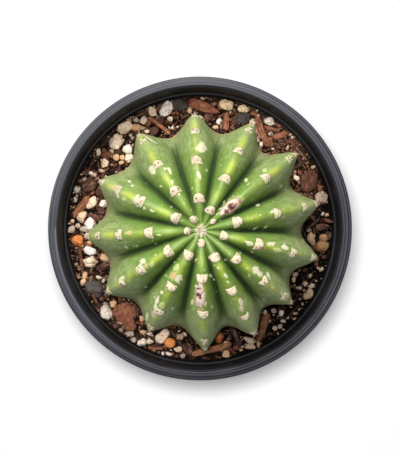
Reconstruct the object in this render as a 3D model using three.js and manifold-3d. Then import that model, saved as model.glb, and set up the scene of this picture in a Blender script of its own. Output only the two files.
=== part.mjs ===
// A round, ribbed cactus growing in a black nursery pot, seen in the photograph from straight above.
// Millimetres, +Z up. The origin is the centre of the pot's underside, on the surface it stands on.
import * as THREE from "three";
import { mergeVertices } from "three/addons/utils/BufferGeometryUtils.js";
import Module from "manifold-3d";

// ---------------------------------------------------------------- driving dimensions

const GAP = 0.3; // clearance between pieces that touch

const POT = {
  height: 95,
  rimRadius: 63.5,
  rimWidth: 4.8, // top of the rolled rim
  rimChamfer: [1.3, 0.8], // width and depth of the bevel of its inner edge
  rimSlope: [1.5, 1.1], // width and depth of the slope along its outer edge
  rimFall: 0.3, // how far its top has fallen where that slope starts
  rimDepth: 5, // height of the rolled rim's outside band
  collarDepth: 15, // from the rim down to the inner ledge
  collarTaper: 0.6, // how far the collar narrows over its depth
  ledge: 1.0, // width of the inner ledge
  wall: 1.3,
  footRadius: 45,
  footWidth: 4.5,
  footHeight: 2, // how far the base is raised inside its ring foot
  floor: 1.5,
  edge: 0.8, // rounding of the moulded edges
  segments: 52,
};
const DRAIN = { count: 8, radius: 3.2, sides: 10, tiltDeg: 45 };

const SOIL = {
  below: 1, // the soil's edge lies this far under the ledge
  swell: 0.7, // height of the soft unevenness of its top
  rings: [1, 0.93, 0.86, 0.79, 0.7, 0],
  grains: 54,
  grainRadius: [0.9, 2.1],
  seed: 11,
};

// The plant's stem: a flattened globe. Its crests follow a rounded ellipse, its grooves lie under them.
const STEM = {
  axis: new THREE.Vector2(0.55, -0.75), // the growing point stands a little off the pot's axis
  lean: new THREE.Vector2(1.0, -0.3), // and the body swells a little to one side of it
  reach: 47.6, // radius at the crests
  widestZ: 101,
  rise: 36, // from the widest level up to the crown
  drop: 40, // from the widest level down to the globe's lowest point
  fullness: 0.87, // 1 is a plain ellipse, less is fuller in the shoulder
  dimple: 4, // depth of the hollow at the growing point
  dimpleRadius: 9,
  rows: 18,
};

// Each rib's direction from the growing point in degrees from +X, how much further than the others its
// crest reaches, and how far along the crest its areoles sit, all measured by hand on the photograph.
const RIBS = [
  { deg: 13.4, out: -0.3, areoles: [14.6, 31.6, 46.8] },
  { deg: 40.0, out: 1.0, areoles: [33.5, 50.3] },
  { deg: 65.6, out: 0.1, areoles: [8.7, 22.7, 36.5] },
  { deg: 94.5, out: 0.1, areoles: [12.8, 28.5, 43.3] },
  { deg: 124.0, out: -0.4, areoles: [5.2, 19.1, 33.0, 50.3] },
  { deg: 154.4, out: -0.6, areoles: [11.5, 27.7, 40.5, 55.1] },
  { deg: 182.6, out: -0.2, areoles: [5.6, 21.2, 34.8, 47.6] },
  { deg: 212.3, out: -1.0, areoles: [15.8, 29.7, 41.8] },
  { deg: 241.4, out: -1.6, areoles: [11.3, 26.3, 40.1] },
  { deg: 270.5, out: 0.3, areoles: [4.9, 19.1, 34.5, 50.3] },
  { deg: 296.3, out: -0.5, areoles: [12.1, 27.4, 41.5] },
  { deg: 320.6, out: -1.8, areoles: [18.2, 33.7, 49.3] },
  { deg: 346.4, out: -0.4, areoles: [9.2, 23.5, 39.7] },
];
const RIB_PHASES = [0, 0.24, 0.62, 1]; // columns from a crest out to its groove

// Depth of the grooves under the crests, against the angle down the meridian as a share of a right angle.
const GROOVE_DEPTH = [
  [0, 0],
  [0.1, 2.4],
  [0.25, 5.8],
  [0.45, 8.6],
  [0.7, 9],
  [1, 7.5],
  [1.25, 4],
  [1.45, 1],
  [1.6, 0],
];
// How square a young rib's section is: 1 is a plain wedge, more is a fuller roll with a sharper cleft.
const YOUNG_ROLL = [
  [0, 2.6],
  [0.12, 2.4],
  [0.3, 2.0],
  [0.6, 1.8],
  [1, 1.6],
];
const CREST_ROUNDING = 0.26; // share of the half rib over which an old crest is rounded
const OLD_RIB = [0.45, 0.95]; // between these shares of a right angle the ribs turn from rolls to ridges

const ROOT = { neckRadius: 13, neckZ: 60, tipRadius: 2.5, tipZ: 30 };
const HOLE = { rows: 7, segments: 36, margin: 1.3 };

// Woolly areoles stand on the crests, younger and thicker ones near the growing point.
const AREOLE = {
  spacing: 15,
  lastArc: 80,
  halfWidth: 3.5,
  halfLength: 2.4,
  height: 1.4,
  fade: 0.8, // how much flatter and smaller the oldest ones are
};
const BUD_SCARS = [
  { rib: 1, arc: 17.5, halfWidth: 1.9, halfLength: 4.4, height: 1.7 },
  { rib: 9, arc: 27.5, halfWidth: 1.3, halfLength: 4.6, height: 1.4 },
];
const SPINE = { radius: 0.3, length: 2.2, perAreole: 3, fromArc: 46, spreadDeg: 42 };
const CROWN_TUFT = { count: 7, radius: 2.1, size: 1.15 };

// Loose pieces in the top of the mix. Each has its place from the pot's axis, its length, width and
// thickness, and the direction its length points in, all read off the photograph by hand.
const BARK_CHIPS = [
  { x: 2.0, y: 51.8, size: [13.6, 5.2, 3], deg: -20 },
  { x: 46.5, y: 20.4, size: [9.6, 7.6, 3], deg: 70 },
  { x: -31.6, y: -37.6, size: [12.0, 8.4, 3], deg: -66 },
  { x: -50.6, y: 9.2, size: [11.6, 3.8, 2.6], deg: 52 },
];
const BARK_STICKS = [
  { x: 5.0, y: -51.4, size: [17.5, 2.8, 2.4], deg: 17 },
  { x: 26.9, y: -42.2, size: [13, 2.9, 2.4], deg: 74 },
  { x: 26.8, y: 41.4, size: [14, 2.6, 2.4], deg: -70 },
  { x: 11.4, y: 45.7, size: [7.8, 2.4, 2.2], deg: 80 },
];
const CHARCOAL_LUMPS = [
  { x: -8.4, y: 52.6, size: [6, 5.2, 3.6], deg: 20 },
  { x: 18.4, y: 47.0, size: [6.4, 4.4, 3], deg: -10 },
  { x: -44.6, y: -25.8, size: [8.4, 6.2, 4], deg: -35 },
];
const PUMICE_STONES = [
  { x: -14.2, y: 50.8, size: [6.6, 4.6, 4.4], deg: 65 },
  { x: -32.0, y: 43.0, size: [6.6, 4.6, 4.2], deg: 20 },
  { x: -35.2, y: 37.0, size: [6.2, 6.0, 4.6], deg: 40 },
  { x: 11.2, y: 52.7, size: [5.6, 4.4, 4.0], deg: -15 },
  { x: 29.6, y: 45.8, size: [5.0, 3.4, 3.4], deg: -8 },
  { x: -46.8, y: 1.8, size: [5.4, 4.6, 4.2], deg: 60 },
  { x: -46.8, y: -14.4, size: [6.0, 4.4, 3.8], deg: 8 },
  { x: -40.2, y: -35.8, size: [7.0, 5.2, 4.8], deg: -65 },
  { x: -16.0, y: -46.2, size: [6.6, 4.6, 4.2], deg: 45 },
  { x: 47.6, y: -4.2, size: [5.4, 3.8, 3.6], deg: -70 },
  { x: 46.4, y: -27.9, size: [4.8, 3.6, 3.4], deg: 70 },
  { x: 52.0, y: 13.0, size: [5.4, 4.2, 3.6], deg: 75 },
];
const CLAY_PEBBLES = [
  { x: -52.2, y: -5.2, size: [5.2, 4.8, 4.2], deg: 0 },
  { x: 8.1, y: -46.6, size: [4.8, 4.0, 3.6], deg: 60 },
  { x: 52.4, y: -7.6, size: [5.2, 5.0, 4.0], deg: 0 },
];
const LOOSE_SUNK = 0.42; // share of a loose piece's thickness that lies in the mix
const LOOSE_JITTER = 0.13; // unevenness of the loose pieces, as a share of their size

// ---------------------------------------------------------------- values worked out from them

const ledgeZ = POT.height - POT.collarDepth;
const rimInner = POT.rimRadius - POT.rimWidth;
const ledgeOuter = rimInner - POT.collarTaper;
const ledgeInner = ledgeOuter - POT.ledge;
const soilZ = ledgeZ - SOIL.below;
const floorZ = POT.footHeight + POT.floor;

// ---------------------------------------------------------------- small tools

const wasm = await Module();
wasm.setup();

const lerp = THREE.MathUtils.lerp;
const radians = THREE.MathUtils.degToRad;

/** A repeatable stream of numbers from 0 to 1. */
function seededRandom(seed) {
  let state = seed;
  return () => {
    state = (state * 1664525 + 1013904223) % 4294967296;
    return state / 4294967296;
  };
}

/** Straight-line reading of a list of [position, value] knots. */
function readKnots(knots, at) {
  const next = knots.findIndex(([position]) => position >= at);
  if (next === 0) return knots[0][1];
  if (next < 0) return knots[knots.length - 1][1];
  const [p0, v0] = knots[next - 1];
  const [p1, v1] = knots[next];
  return lerp(v0, v1, (at - p0) / (p1 - p0));
}

/** A closed geometry as a solid that can be joined and cut. */
function toSolid(geometry) {
  const bare = geometry.clone();
  bare.deleteAttribute("normal");
  bare.deleteAttribute("uv");
  const merged = mergeVertices(bare, 1e-3);
  return new wasm.Manifold(
    new wasm.Mesh({
      numProp: 3,
      vertProperties: new Float32Array(merged.attributes.position.array),
      triVerts: new Uint32Array(merged.index.array),
    }),
  );
}

/** A solid back as a geometry with flat-shaded normals. */
function toGeometry(solid) {
  const mesh = solid.getMesh();
  const positions = new Float32Array(mesh.numVert * 3);
  for (let i = 0; i < mesh.numVert; i++)
    positions.set(mesh.vertProperties.subarray(i * mesh.numProp, i * mesh.numProp + 3), i * 3);
  const geometry = new THREE.BufferGeometry();
  geometry.setAttribute("position", new THREE.BufferAttribute(positions, 3));
  geometry.setIndex(new THREE.BufferAttribute(new Uint32Array(mesh.triVerts), 1));
  geometry.computeVertexNormals();
  return geometry;
}

/** The one big body of a solid, without the slivers and closed pockets that joins and cuts leave behind. */
function mainBody(solid) {
  return solid.decompose().reduce((most, body) => (body.volume() > most.volume() ? body : most));
}

/** A profile of [radius, z] points turned round the Z axis. */
function turned(profile, segments) {
  const points = profile.map(([radius, z]) => new THREE.Vector2(radius, z));
  return new THREE.LatheGeometry(points, segments).rotateX(Math.PI / 2);
}

// ---------------------------------------------------------------- pot

/** The pot's inner wall radius below the ledge, at a height. */
function innerWallRadius(z) {
  const floorRadius = POT.footRadius - POT.wall;
  return lerp(floorRadius, ledgeInner, (z - floorZ) / (ledgeZ - floorZ));
}

function potProfile() {
  const { height, rimRadius, rimDepth, rimChamfer, rimSlope, rimFall } = POT;
  const { wall, edge, footRadius, footWidth, footHeight } = POT;
  const wallTop = ledgeZ - wall;
  return [
    [0, footHeight],
    [footRadius - footWidth - footHeight, footHeight],
    [footRadius - footWidth, 0],
    [footRadius - edge, 0],
    [footRadius, edge],
    [ledgeInner + wall, wallTop - edge],
    [ledgeOuter + wall, wallTop],
    [rimInner + wall, height - rimDepth],
    [rimRadius, height - rimDepth],
    [rimRadius, height - rimSlope[1] - 0.4 * edge],
    [rimRadius - 0.4 * edge, height - rimSlope[1]],
    [rimRadius - rimSlope[0], height - rimFall],
    [rimInner + rimChamfer[0], height],
    [rimInner, height - rimChamfer[1]],
    [ledgeOuter, ledgeZ],
    [ledgeInner, ledgeZ],
    [footRadius - wall, floorZ],
    [0, floorZ],
  ];
}

/** One drain hole's cutter, slanting out through the corner between base and wall. */
function drainCutter(turn) {
  const length = 6 * DRAIN.radius;
  const cutter = new THREE.CylinderGeometry(DRAIN.radius, DRAIN.radius, length, DRAIN.sides);
  cutter.rotateX(Math.PI / 2);
  cutter.rotateY(-radians(DRAIN.tiltDeg));
  cutter.translate(POT.footRadius - POT.wall, 0, POT.wall);
  return toSolid(cutter.rotateZ(turn));
}

function makePot() {
  let pot = toSolid(turned(potProfile(), POT.segments));
  for (let i = 0; i < DRAIN.count; i++) pot = pot.subtract(drainCutter((2 * Math.PI * (i + 0.5)) / DRAIN.count));
  return pot;
}

// ---------------------------------------------------------------- cactus stem

/** A crest's radius and height at an angle down the meridian, 0 at the growing point. */
function crestPoint(angle) {
  const across = Math.pow(Math.abs(Math.sin(angle)), STEM.fullness);
  const up = Math.sign(Math.cos(angle)) * Math.pow(Math.abs(Math.cos(angle)), STEM.fullness);
  const radius = STEM.reach * across;
  const dimple = STEM.dimple * Math.exp(-((radius / STEM.dimpleRadius) ** 2));
  const z = STEM.widestZ + up * (up > 0 ? STEM.rise : STEM.drop) - dimple * Math.max(up, 0);
  return new THREE.Vector2(radius, z);
}

/** The unit outward normal of the crest line, as radius and height. */
function crestNormal(angle) {
  const step = 0.01;
  const along = crestPoint(angle + step).sub(crestPoint(Math.max(angle - step, step / 2)));
  return new THREE.Vector2(-along.y, along.x).normalize();
}

/** The angle down the meridian at which the crest line is this long. */
function angleAtArc(arc) {
  const step = 0.005;
  let angle = 0;
  for (let run = 0; run < arc; angle += step) run += crestPoint(angle).distanceTo(crestPoint(angle + step));
  return angle;
}

/** How high a rib stands at a phase (0 on its crest, 1 in its groove), as a share of its depth. */
function ribHeight(phase, share) {
  const old = THREE.MathUtils.smoothstep(share, OLD_RIB[0], OLD_RIB[1]);
  const roll = 1 - Math.pow(phase, readKnots(YOUNG_ROLL, share));
  const rounded = (Math.hypot(phase, CREST_ROUNDING) - CREST_ROUNDING) / (Math.hypot(1, CREST_ROUNDING) - CREST_ROUNDING);
  const ridge = 1 - Math.sin((rounded * Math.PI) / 2);
  return lerp(roll, ridge, old);
}

/** A point's place once the stem's axis and its swelling to one side are added. */
function standing(x, y, z) {
  const lean = (x * x + y * y) / (STEM.reach * STEM.reach);
  return new THREE.Vector3(STEM.axis.x + x + STEM.lean.x * lean, STEM.axis.y + y + STEM.lean.y * lean, z);
}

/** A point of the stem's skin. Rib is a rib's number, side -1 or 1 the flank, phase 0 to 1 from crest to groove. */
function skinPoint(angle, rib, side, phase) {
  const share = angle / (Math.PI / 2);
  const crest = crestPoint(angle);
  const sink = readKnots(GROOVE_DEPTH, share) * (1 - ribHeight(phase, share));
  const skin = crest.clone().sub(crestNormal(angle).multiplyScalar(sink));
  const own = RIBS[rib].deg;
  const neighbour = RIBS[(rib + side + RIBS.length) % RIBS.length].deg;
  const toGroove = THREE.MathUtils.euclideanModulo(side * (neighbour - own), 360) / 2;
  const direction = radians(own + side * toGroove * phase);
  const further = RIBS[rib].out * (crest.x / STEM.reach) ** 2 * ribHeight(phase, share);
  const radius = skin.x + further;
  return standing(radius * Math.cos(direction), radius * Math.sin(direction), skin.y);
}

/** The angle down the meridian at which the stem runs into its root neck. */
function neckAngle() {
  let angle = Math.PI / 2;
  while (crestPoint(angle).x > ROOT.neckRadius) angle += 0.01;
  return angle;
}

/** The stem and root as one skin: a turned shape whose columns are then moved onto the ribs. */
function stemGeometry() {
  const last = neckAngle();
  const angles = Array.from({ length: STEM.rows + 1 }, (_, i) => (last * i) / STEM.rows);
  const rootPoints = [
    [ROOT.neckRadius * 0.8, ROOT.neckZ - 3],
    [ROOT.neckRadius * 0.45, lerp(ROOT.neckZ, ROOT.tipZ, 0.5)],
    [ROOT.tipRadius, ROOT.tipZ],
    [0, ROOT.tipZ - 1],
  ];
  const profile = [...angles.map((angle) => crestPoint(angle).toArray()), ...rootPoints];
  const perSide = RIB_PHASES.length - 1;
  const columns = RIBS.length * perSide * 2;
  const geometry = turned(profile.reverse(), columns);
  const position = geometry.attributes.position;
  for (let column = 0; column <= columns; column++) {
    const place = column % columns;
    const rib = Math.floor((place + perSide) / (2 * perSide)) % RIBS.length;
    const offset = ((place + perSide) % (2 * perSide)) - perSide;
    const side = offset < 0 ? -1 : 1;
    const phase = RIB_PHASES[Math.abs(offset)];
    angles.forEach((angle, row) => {
      const point = skinPoint(angle, rib, side, phase);
      position.setXYZ(column * profile.length + (profile.length - 1 - row), point.x, point.y, point.z);
    });
    for (let row = 0; row < rootPoints.length; row++) {
      const [radius, z] = rootPoints[rootPoints.length - 1 - row];
      const edge = skinPoint(last, rib, side, phase);
      const direction = Math.atan2(edge.y - STEM.axis.y, edge.x - STEM.axis.x);
      const point = standing(radius * Math.cos(direction), radius * Math.sin(direction), z);
      position.setXYZ(column * profile.length + row, point.x, point.y, point.z);
    }
  }
  return geometry;
}

// ---------------------------------------------------------------- areoles, scars and spines

/** A frame on a crest: across the rib, down along it, and out of the skin. */
function crestFrame(rib, arc) {
  const angle = angleAtArc(arc);
  const origin = skinPoint(angle, rib, 1, 0);
  const down = skinPoint(angle + 0.02, rib, 1, 0).sub(skinPoint(angle - 0.02, rib, 1, 0)).normalize();
  const normal = crestNormal(angle);
  const direction = radians(RIBS[rib].deg);
  const out = new THREE.Vector3(normal.x * Math.cos(direction), normal.x * Math.sin(direction), normal.y);
  const across = new THREE.Vector3().crossVectors(down, out).normalize();
  return new THREE.Matrix4().makeBasis(across, down, out.crossVectors(across, down)).setPosition(origin);
}

/** A woolly pad: a flattened dome, half sunk in the crest. */
function woolPad(frame, halfWidth, halfLength, height) {
  const pad = new THREE.SphereGeometry(1, 6, 3).rotateX(Math.PI / 2);
  pad.scale(halfWidth, halfLength, height).translate(0, 0, -0.15 * height);
  return toSolid(pad.applyMatrix4(frame));
}

/** The short spines of one areole, fanned outwards from its middle. */
function spines(frame) {
  return Array.from({ length: SPINE.perAreole }, (_, i) => {
    const spine = new THREE.ConeGeometry(SPINE.radius, SPINE.length, 3).rotateX(Math.PI / 2);
    spine.translate(0, 0, SPINE.length / 2 + 0.2);
    spine.rotateX(-radians(SPINE.spreadDeg));
    spine.rotateZ((2 * Math.PI * i) / SPINE.perAreole);
    return toSolid(spine.applyMatrix4(frame));
  });
}

/** How far along its crest each areole of a rib sits: the ones that were measured, then evenly on. */
function areoleArcs(rib) {
  const arcs = [...RIBS[rib].areoles];
  while (arcs[arcs.length - 1] + AREOLE.spacing < AREOLE.lastArc) arcs.push(arcs[arcs.length - 1] + AREOLE.spacing);
  return arcs;
}

/** Every areole of one rib, from its youngest down to the soil. */
function ribAreoles(rib) {
  const pieces = [];
  for (const arc of areoleArcs(rib)) {
    const size = 1 - (AREOLE.fade * arc) / AREOLE.lastArc;
    const frame = crestFrame(rib, arc);
    pieces.push(woolPad(frame, AREOLE.halfWidth * size, AREOLE.halfLength * size, AREOLE.height * size));
    if (arc > SPINE.fromArc) pieces.push(...spines(frame));
  }
  return pieces;
}

/** The youngest wool, crowded round the growing point. */
function crownTufts() {
  const crown = new THREE.Vector3(STEM.axis.x, STEM.axis.y, crestPoint(0).y);
  return Array.from({ length: CROWN_TUFT.count }, (_, i) => {
    const turn = (2 * Math.PI * i) / (CROWN_TUFT.count - 1);
    const out = i === CROWN_TUFT.count - 1 ? 0 : CROWN_TUFT.radius;
    const tuft = new THREE.IcosahedronGeometry(CROWN_TUFT.size, 0).rotateZ(turn);
    tuft.translate(crown.x + out * Math.cos(turn), crown.y + out * Math.sin(turn), crown.z);
    return toSolid(tuft);
  });
}

function makeCactus() {
  const scars = BUD_SCARS.map((s) => woolPad(crestFrame(s.rib, s.arc), s.halfWidth, s.halfLength, s.height));
  const areoles = RIBS.flatMap((_, rib) => ribAreoles(rib));
  return mainBody(wasm.Manifold.union([toSolid(stemGeometry()), ...areoles, ...scars, ...crownTufts()]));
}

// ---------------------------------------------------------------- loose pieces and soil

/** A smooth unevenness of a shape's skin, the same for every build. */
function unevenness(point, seed) {
  return (
    Math.sin(point.x * 2.3 + seed) * Math.cos(point.y * 1.9 - seed) + 0.6 * Math.sin(point.z * 3.1 + point.x * 1.3 + 2 * seed)
  );
}

/** Pushes each vertex of a unit shape in or out along its own direction. */
function roughen(geometry, seed) {
  const position = geometry.attributes.position;
  const point = new THREE.Vector3();
  for (let i = 0; i < position.count; i++) {
    point.fromBufferAttribute(position, i);
    const swell = LOOSE_JITTER * unevenness(point, seed);
    position.setXYZ(i, point.x * (1 + 0.3 * swell), point.y * (1 + swell), point.z * (1 + swell));
  }
  return geometry;
}

/** Height of the soil's softly uneven top at a point; its edge stays level. */
function soilTop(x, y) {
  const inside = 1 - Math.pow(Math.hypot(x, y) / ledgeInner, 6);
  return soilZ + Math.max(inside, 0) * SOIL.swell * Math.sin(x * 0.23 + 1) * Math.cos(y * 0.19);
}

const SHAPES = {
  slab: () => new THREE.BoxGeometry(1.7, 1.7, 1.7, 3, 2, 1),
  stick: () => new THREE.CylinderGeometry(1, 1, 2, 6, 2).rotateZ(Math.PI / 2),
  stone: () => new THREE.DodecahedronGeometry(1, 0),
};

/** A loose piece's geometry where it lies, grown by a margin on every side. */
function loosePiece(shape, { x, y, size, deg }, seed, margin) {
  const [length, width, thickness] = size;
  const geometry = roughen(SHAPES[shape](), seed);
  geometry.scale(length / 2 + margin, width / 2 + margin, thickness / 2 + margin);
  geometry.rotateZ(radians(deg));
  return geometry.translate(x, y, soilTop(x, y) + thickness * (0.5 - LOOSE_SUNK));
}

const LOOSE = [
  { name: "bark_chip", shape: "slab", colour: 0x7c4a34, list: BARK_CHIPS },
  { name: "bark_stick", shape: "stick", colour: 0x70402c, list: BARK_STICKS },
  { name: "charcoal_lump", shape: "stone", colour: 0x4a4340, list: CHARCOAL_LUMPS },
  { name: "pumice_stone", shape: "stone", colour: 0xd8c7ae, list: PUMICE_STONES },
  { name: "clay_pebble", shape: "stone", colour: 0xb8683a, list: CLAY_PEBBLES },
];

const looseEntries = LOOSE.flatMap(({ name, shape, colour, list }) =>
  list.map((place, i) => ({ name: `${name}_${i + 1}`, shape, colour, place, seed: name.length + 1.7 * i })),
);

function soilGeometry() {
  const edge = innerWallRadius(soilZ) - GAP;
  const bottom = innerWallRadius(floorZ + GAP) - GAP;
  const top = SOIL.rings.map((share) => [share * edge, soilZ]);
  const geometry = turned([[0, floorZ + GAP], [bottom, floorZ + GAP], ...top], POT.segments);
  const position = geometry.attributes.position;
  for (let i = 0; i < position.count; i++) {
    if (position.getZ(i) > soilZ - 0.01) position.setZ(i, soilTop(position.getX(i), position.getY(i)));
  }
  return geometry;
}

/** The plain round hole that the stem and its root stand in. */
function plantHole() {
  const last = neckAngle();
  const angles = Array.from({ length: HOLE.rows }, (_, i) => lerp(last, Math.PI / 2, i / (HOLE.rows - 1)));
  const profile = [
    [0, ROOT.tipZ - 1 - GAP],
    [ROOT.tipRadius, ROOT.tipZ - GAP],
    [ROOT.neckRadius * 0.45, lerp(ROOT.neckZ, ROOT.tipZ, 0.5)],
    [ROOT.neckRadius * 0.8, ROOT.neckZ - 3],
    ...angles.map((angle) => crestPoint(angle).toArray()),
  ].map(([radius, z], i) => [i === 0 ? 0 : radius + HOLE.margin, z - GAP]);
  const hole = turned([...profile, [0, STEM.widestZ]], HOLE.segments);
  const position = hole.attributes.position;
  for (let i = 0; i < position.count; i++) {
    const point = standing(position.getX(i), position.getY(i), position.getZ(i));
    position.setXYZ(i, point.x, point.y, point.z);
  }
  return toSolid(hole);
}

/** Whether a grain would touch the stem's hole, the pot or a loose piece. */
function grainIsBlocked(x, y, radius) {
  const fromAxis = Math.hypot(x, y);
  const stemAtSoil = 0.88 * STEM.reach;
  if (fromAxis < stemAtSoil + radius || fromAxis > innerWallRadius(soilZ) - radius - GAP) return true;
  return looseEntries.some(({ place }) => {
    const away = Math.hypot(x - place.x, y - place.y);
    return away < radius + place.size[0] / 2 + 2 * GAP;
  });
}

/** Small grains of the mix, standing out of its top. */
function soilGrains() {
  const random = seededRandom(SOIL.seed);
  const grains = [];
  for (let tries = 0; grains.length < SOIL.grains && tries < 40 * SOIL.grains; tries++) {
    const radius = lerp(...SOIL.grainRadius, random());
    const fromAxis = lerp(0.8 * STEM.reach, ledgeInner, random());
    const turn = 2 * Math.PI * random();
    const x = fromAxis * Math.cos(turn);
    const y = fromAxis * Math.sin(turn);
    const spin = 3 * random();
    if (grainIsBlocked(x, y, radius)) continue;
    const grain = new THREE.OctahedronGeometry(radius, 0).rotateX(spin).rotateZ(2 * spin);
    grains.push(toSolid(grain.translate(x, y, soilTop(x, y) + 0.25 * radius)));
  }
  return grains;
}

function makeSoil() {
  let soil = toSolid(soilGeometry()).add(wasm.Manifold.union(soilGrains()));
  soil = soil.subtract(plantHole());
  const pockets = looseEntries.map(({ shape, place, seed }) => toSolid(loosePiece(shape, place, seed, 1.5 * GAP)));
  return mainBody(soil.subtract(wasm.Manifold.union(pockets)));
}

// ---------------------------------------------------------------- the object

function addMesh(group, name, geometry, colour, roughness) {
  const material = new THREE.MeshStandardMaterial({ color: colour, roughness, metalness: 0 });
  const mesh = new THREE.Mesh(geometry, material);
  mesh.name = name;
  group.add(mesh);
}

const pottedCactus = new THREE.Group();
addMesh(pottedCactus, "pot", toGeometry(makePot()), 0x26262a, 0.45);
addMesh(pottedCactus, "soil", toGeometry(makeSoil()), 0x2e211a, 0.95);
addMesh(pottedCactus, "cactus", toGeometry(makeCactus()), 0x5c8a3c, 0.4);
for (const { name, shape, colour, place, seed } of looseEntries)
  addMesh(pottedCactus, name, toGeometry(toSolid(loosePiece(shape, place, seed, 0))), colour, 0.9);

export default pottedCactus;
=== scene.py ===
"""A round ribbed cactus in a black nursery pot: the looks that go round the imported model.

Sizes are in millimetres, as a grower would measure them, and every finished mesh is turned into
metres. The part stands on the origin with +Z up, and the camera looks straight down on it.
"""

from __future__ import annotations

import logging
import math
import random
from bisect import bisect_left
from collections.abc import Iterable, Mapping, Sequence
from dataclasses import dataclass, field, replace
from enum import Enum
from typing import Any

import bmesh
import bpy
from mathutils import Matrix, Vector, noise

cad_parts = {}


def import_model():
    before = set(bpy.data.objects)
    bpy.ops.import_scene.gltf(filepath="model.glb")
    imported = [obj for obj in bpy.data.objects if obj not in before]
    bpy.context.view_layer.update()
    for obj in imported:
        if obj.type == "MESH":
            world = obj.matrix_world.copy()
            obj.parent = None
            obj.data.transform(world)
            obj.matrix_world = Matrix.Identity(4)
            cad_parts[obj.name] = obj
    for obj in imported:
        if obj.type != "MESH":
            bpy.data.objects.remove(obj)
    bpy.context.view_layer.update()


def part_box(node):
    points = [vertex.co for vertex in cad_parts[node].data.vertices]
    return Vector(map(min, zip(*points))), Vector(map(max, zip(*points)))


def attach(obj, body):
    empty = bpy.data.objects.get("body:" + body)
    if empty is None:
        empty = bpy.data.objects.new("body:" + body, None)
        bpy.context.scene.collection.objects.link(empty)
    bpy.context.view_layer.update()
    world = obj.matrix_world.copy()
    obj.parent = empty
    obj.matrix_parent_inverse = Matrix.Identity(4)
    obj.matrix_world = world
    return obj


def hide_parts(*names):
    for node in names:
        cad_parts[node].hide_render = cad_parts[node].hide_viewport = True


MM = 0.001
BODY = "root"
LOG = logging.getLogger("potted_cactus")

Colour = tuple[float, ...]
Curve = tuple[tuple[float, float], ...]


def srgb(red: float, green: float, blue: float) -> Colour:
    """Turns a colour as a screen shows it, 0 to 255, into the linear one that a shader takes.

    Args:
        red: The red share, 0 to 255.
        green: The green share, 0 to 255.
        blue: The blue share, 0 to 255.

    Returns:
        Linear red, green, blue and an alpha of 1.
    """
    def linear(part: float) -> float:
        """Undoes the screen's curve for one channel."""
        share = part / 255
        return share / 12.92 if share <= 0.04045 else ((share + 0.055) / 1.055) ** 2.4

    return linear(red), linear(green), linear(blue), 1.0


def lerp(low: float, high: float, share: float) -> float:
    """Reads between two values."""
    return low + (high - low) * share


def smoothstep(value: float, low: float, high: float) -> float:
    """Rises smoothly from 0 at low to 1 at high."""
    share = min(max((value - low) / (high - low), 0.0), 1.0)
    return share * share * (3 - 2 * share)


def read_knots(knots: Sequence[tuple[float, float]], at: float) -> float:
    """Reads a line drawn from knot to knot.

    Args:
        knots: Position and value pairs, in rising order of position.
        at: The position to read at.

    Returns:
        The value there, which is the end knot's beyond either end.
    """
    index = bisect_left([position for position, _ in knots], at)
    if index == 0:
        return knots[0][1]
    if index == len(knots):
        return knots[-1][1]
    (p0, v0), (p1, v1) = knots[index - 1], knots[index]
    return lerp(v0, v1, (at - p0) / (p1 - p0))


def polar(turn: float, out: float) -> tuple[float, float]:
    """The point of a plan that lies in a direction, given in radians, at a distance."""
    return out * math.cos(turn), out * math.sin(turn)


def lumps(point: Vector, size: float, seed: float = 0.0) -> float:
    """A smooth unevenness from about -1 to 1, with lumps of a size in millimetres."""
    return noise.noise(point / size + Vector((seed, 2 * seed, -seed)))


def ring_noise(turn: float, radius: float, seed: float) -> float:
    """A smooth unevenness that closes on itself after a full turn; a wider ring has more lumps."""
    return noise.noise(Vector((*polar(turn, radius), seed)))


def squared(point: Vector, *powers: float) -> Vector:
    """Moves a point of a ball towards the cube around it, by one power or one for each of its parts."""
    return Vector([math.copysign(abs(part) ** power, part) for part, power in zip(point, powers * 3)])


def jitter(rng: random.Random, most: float) -> Vector:
    """A random shift of at most so much along each axis."""
    return Vector([rng.uniform(-most, most) for _ in range(3)])


def any_way(rng: random.Random) -> Vector:
    """A random direction, as likely one way as another."""
    return Vector([rng.gauss(0, 1) for _ in range(3)]).normalized()


def hang(name: str, data: bpy.types.ID) -> bpy.types.Object:
    """Makes an object of a mesh, a lamp or a camera and puts it in the scene."""
    made = bpy.data.objects.new(name, data)
    bpy.context.collection.objects.link(made)
    return made


def to_object(name: str, mesh: bmesh.types.BMesh) -> bpy.types.Object:
    """Turns a finished bmesh into an object of the scene and frees it."""
    data = bpy.data.meshes.new(name)
    mesh.to_mesh(data)
    mesh.free()
    return hang(name, data)


# ---- shader expressions


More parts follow.
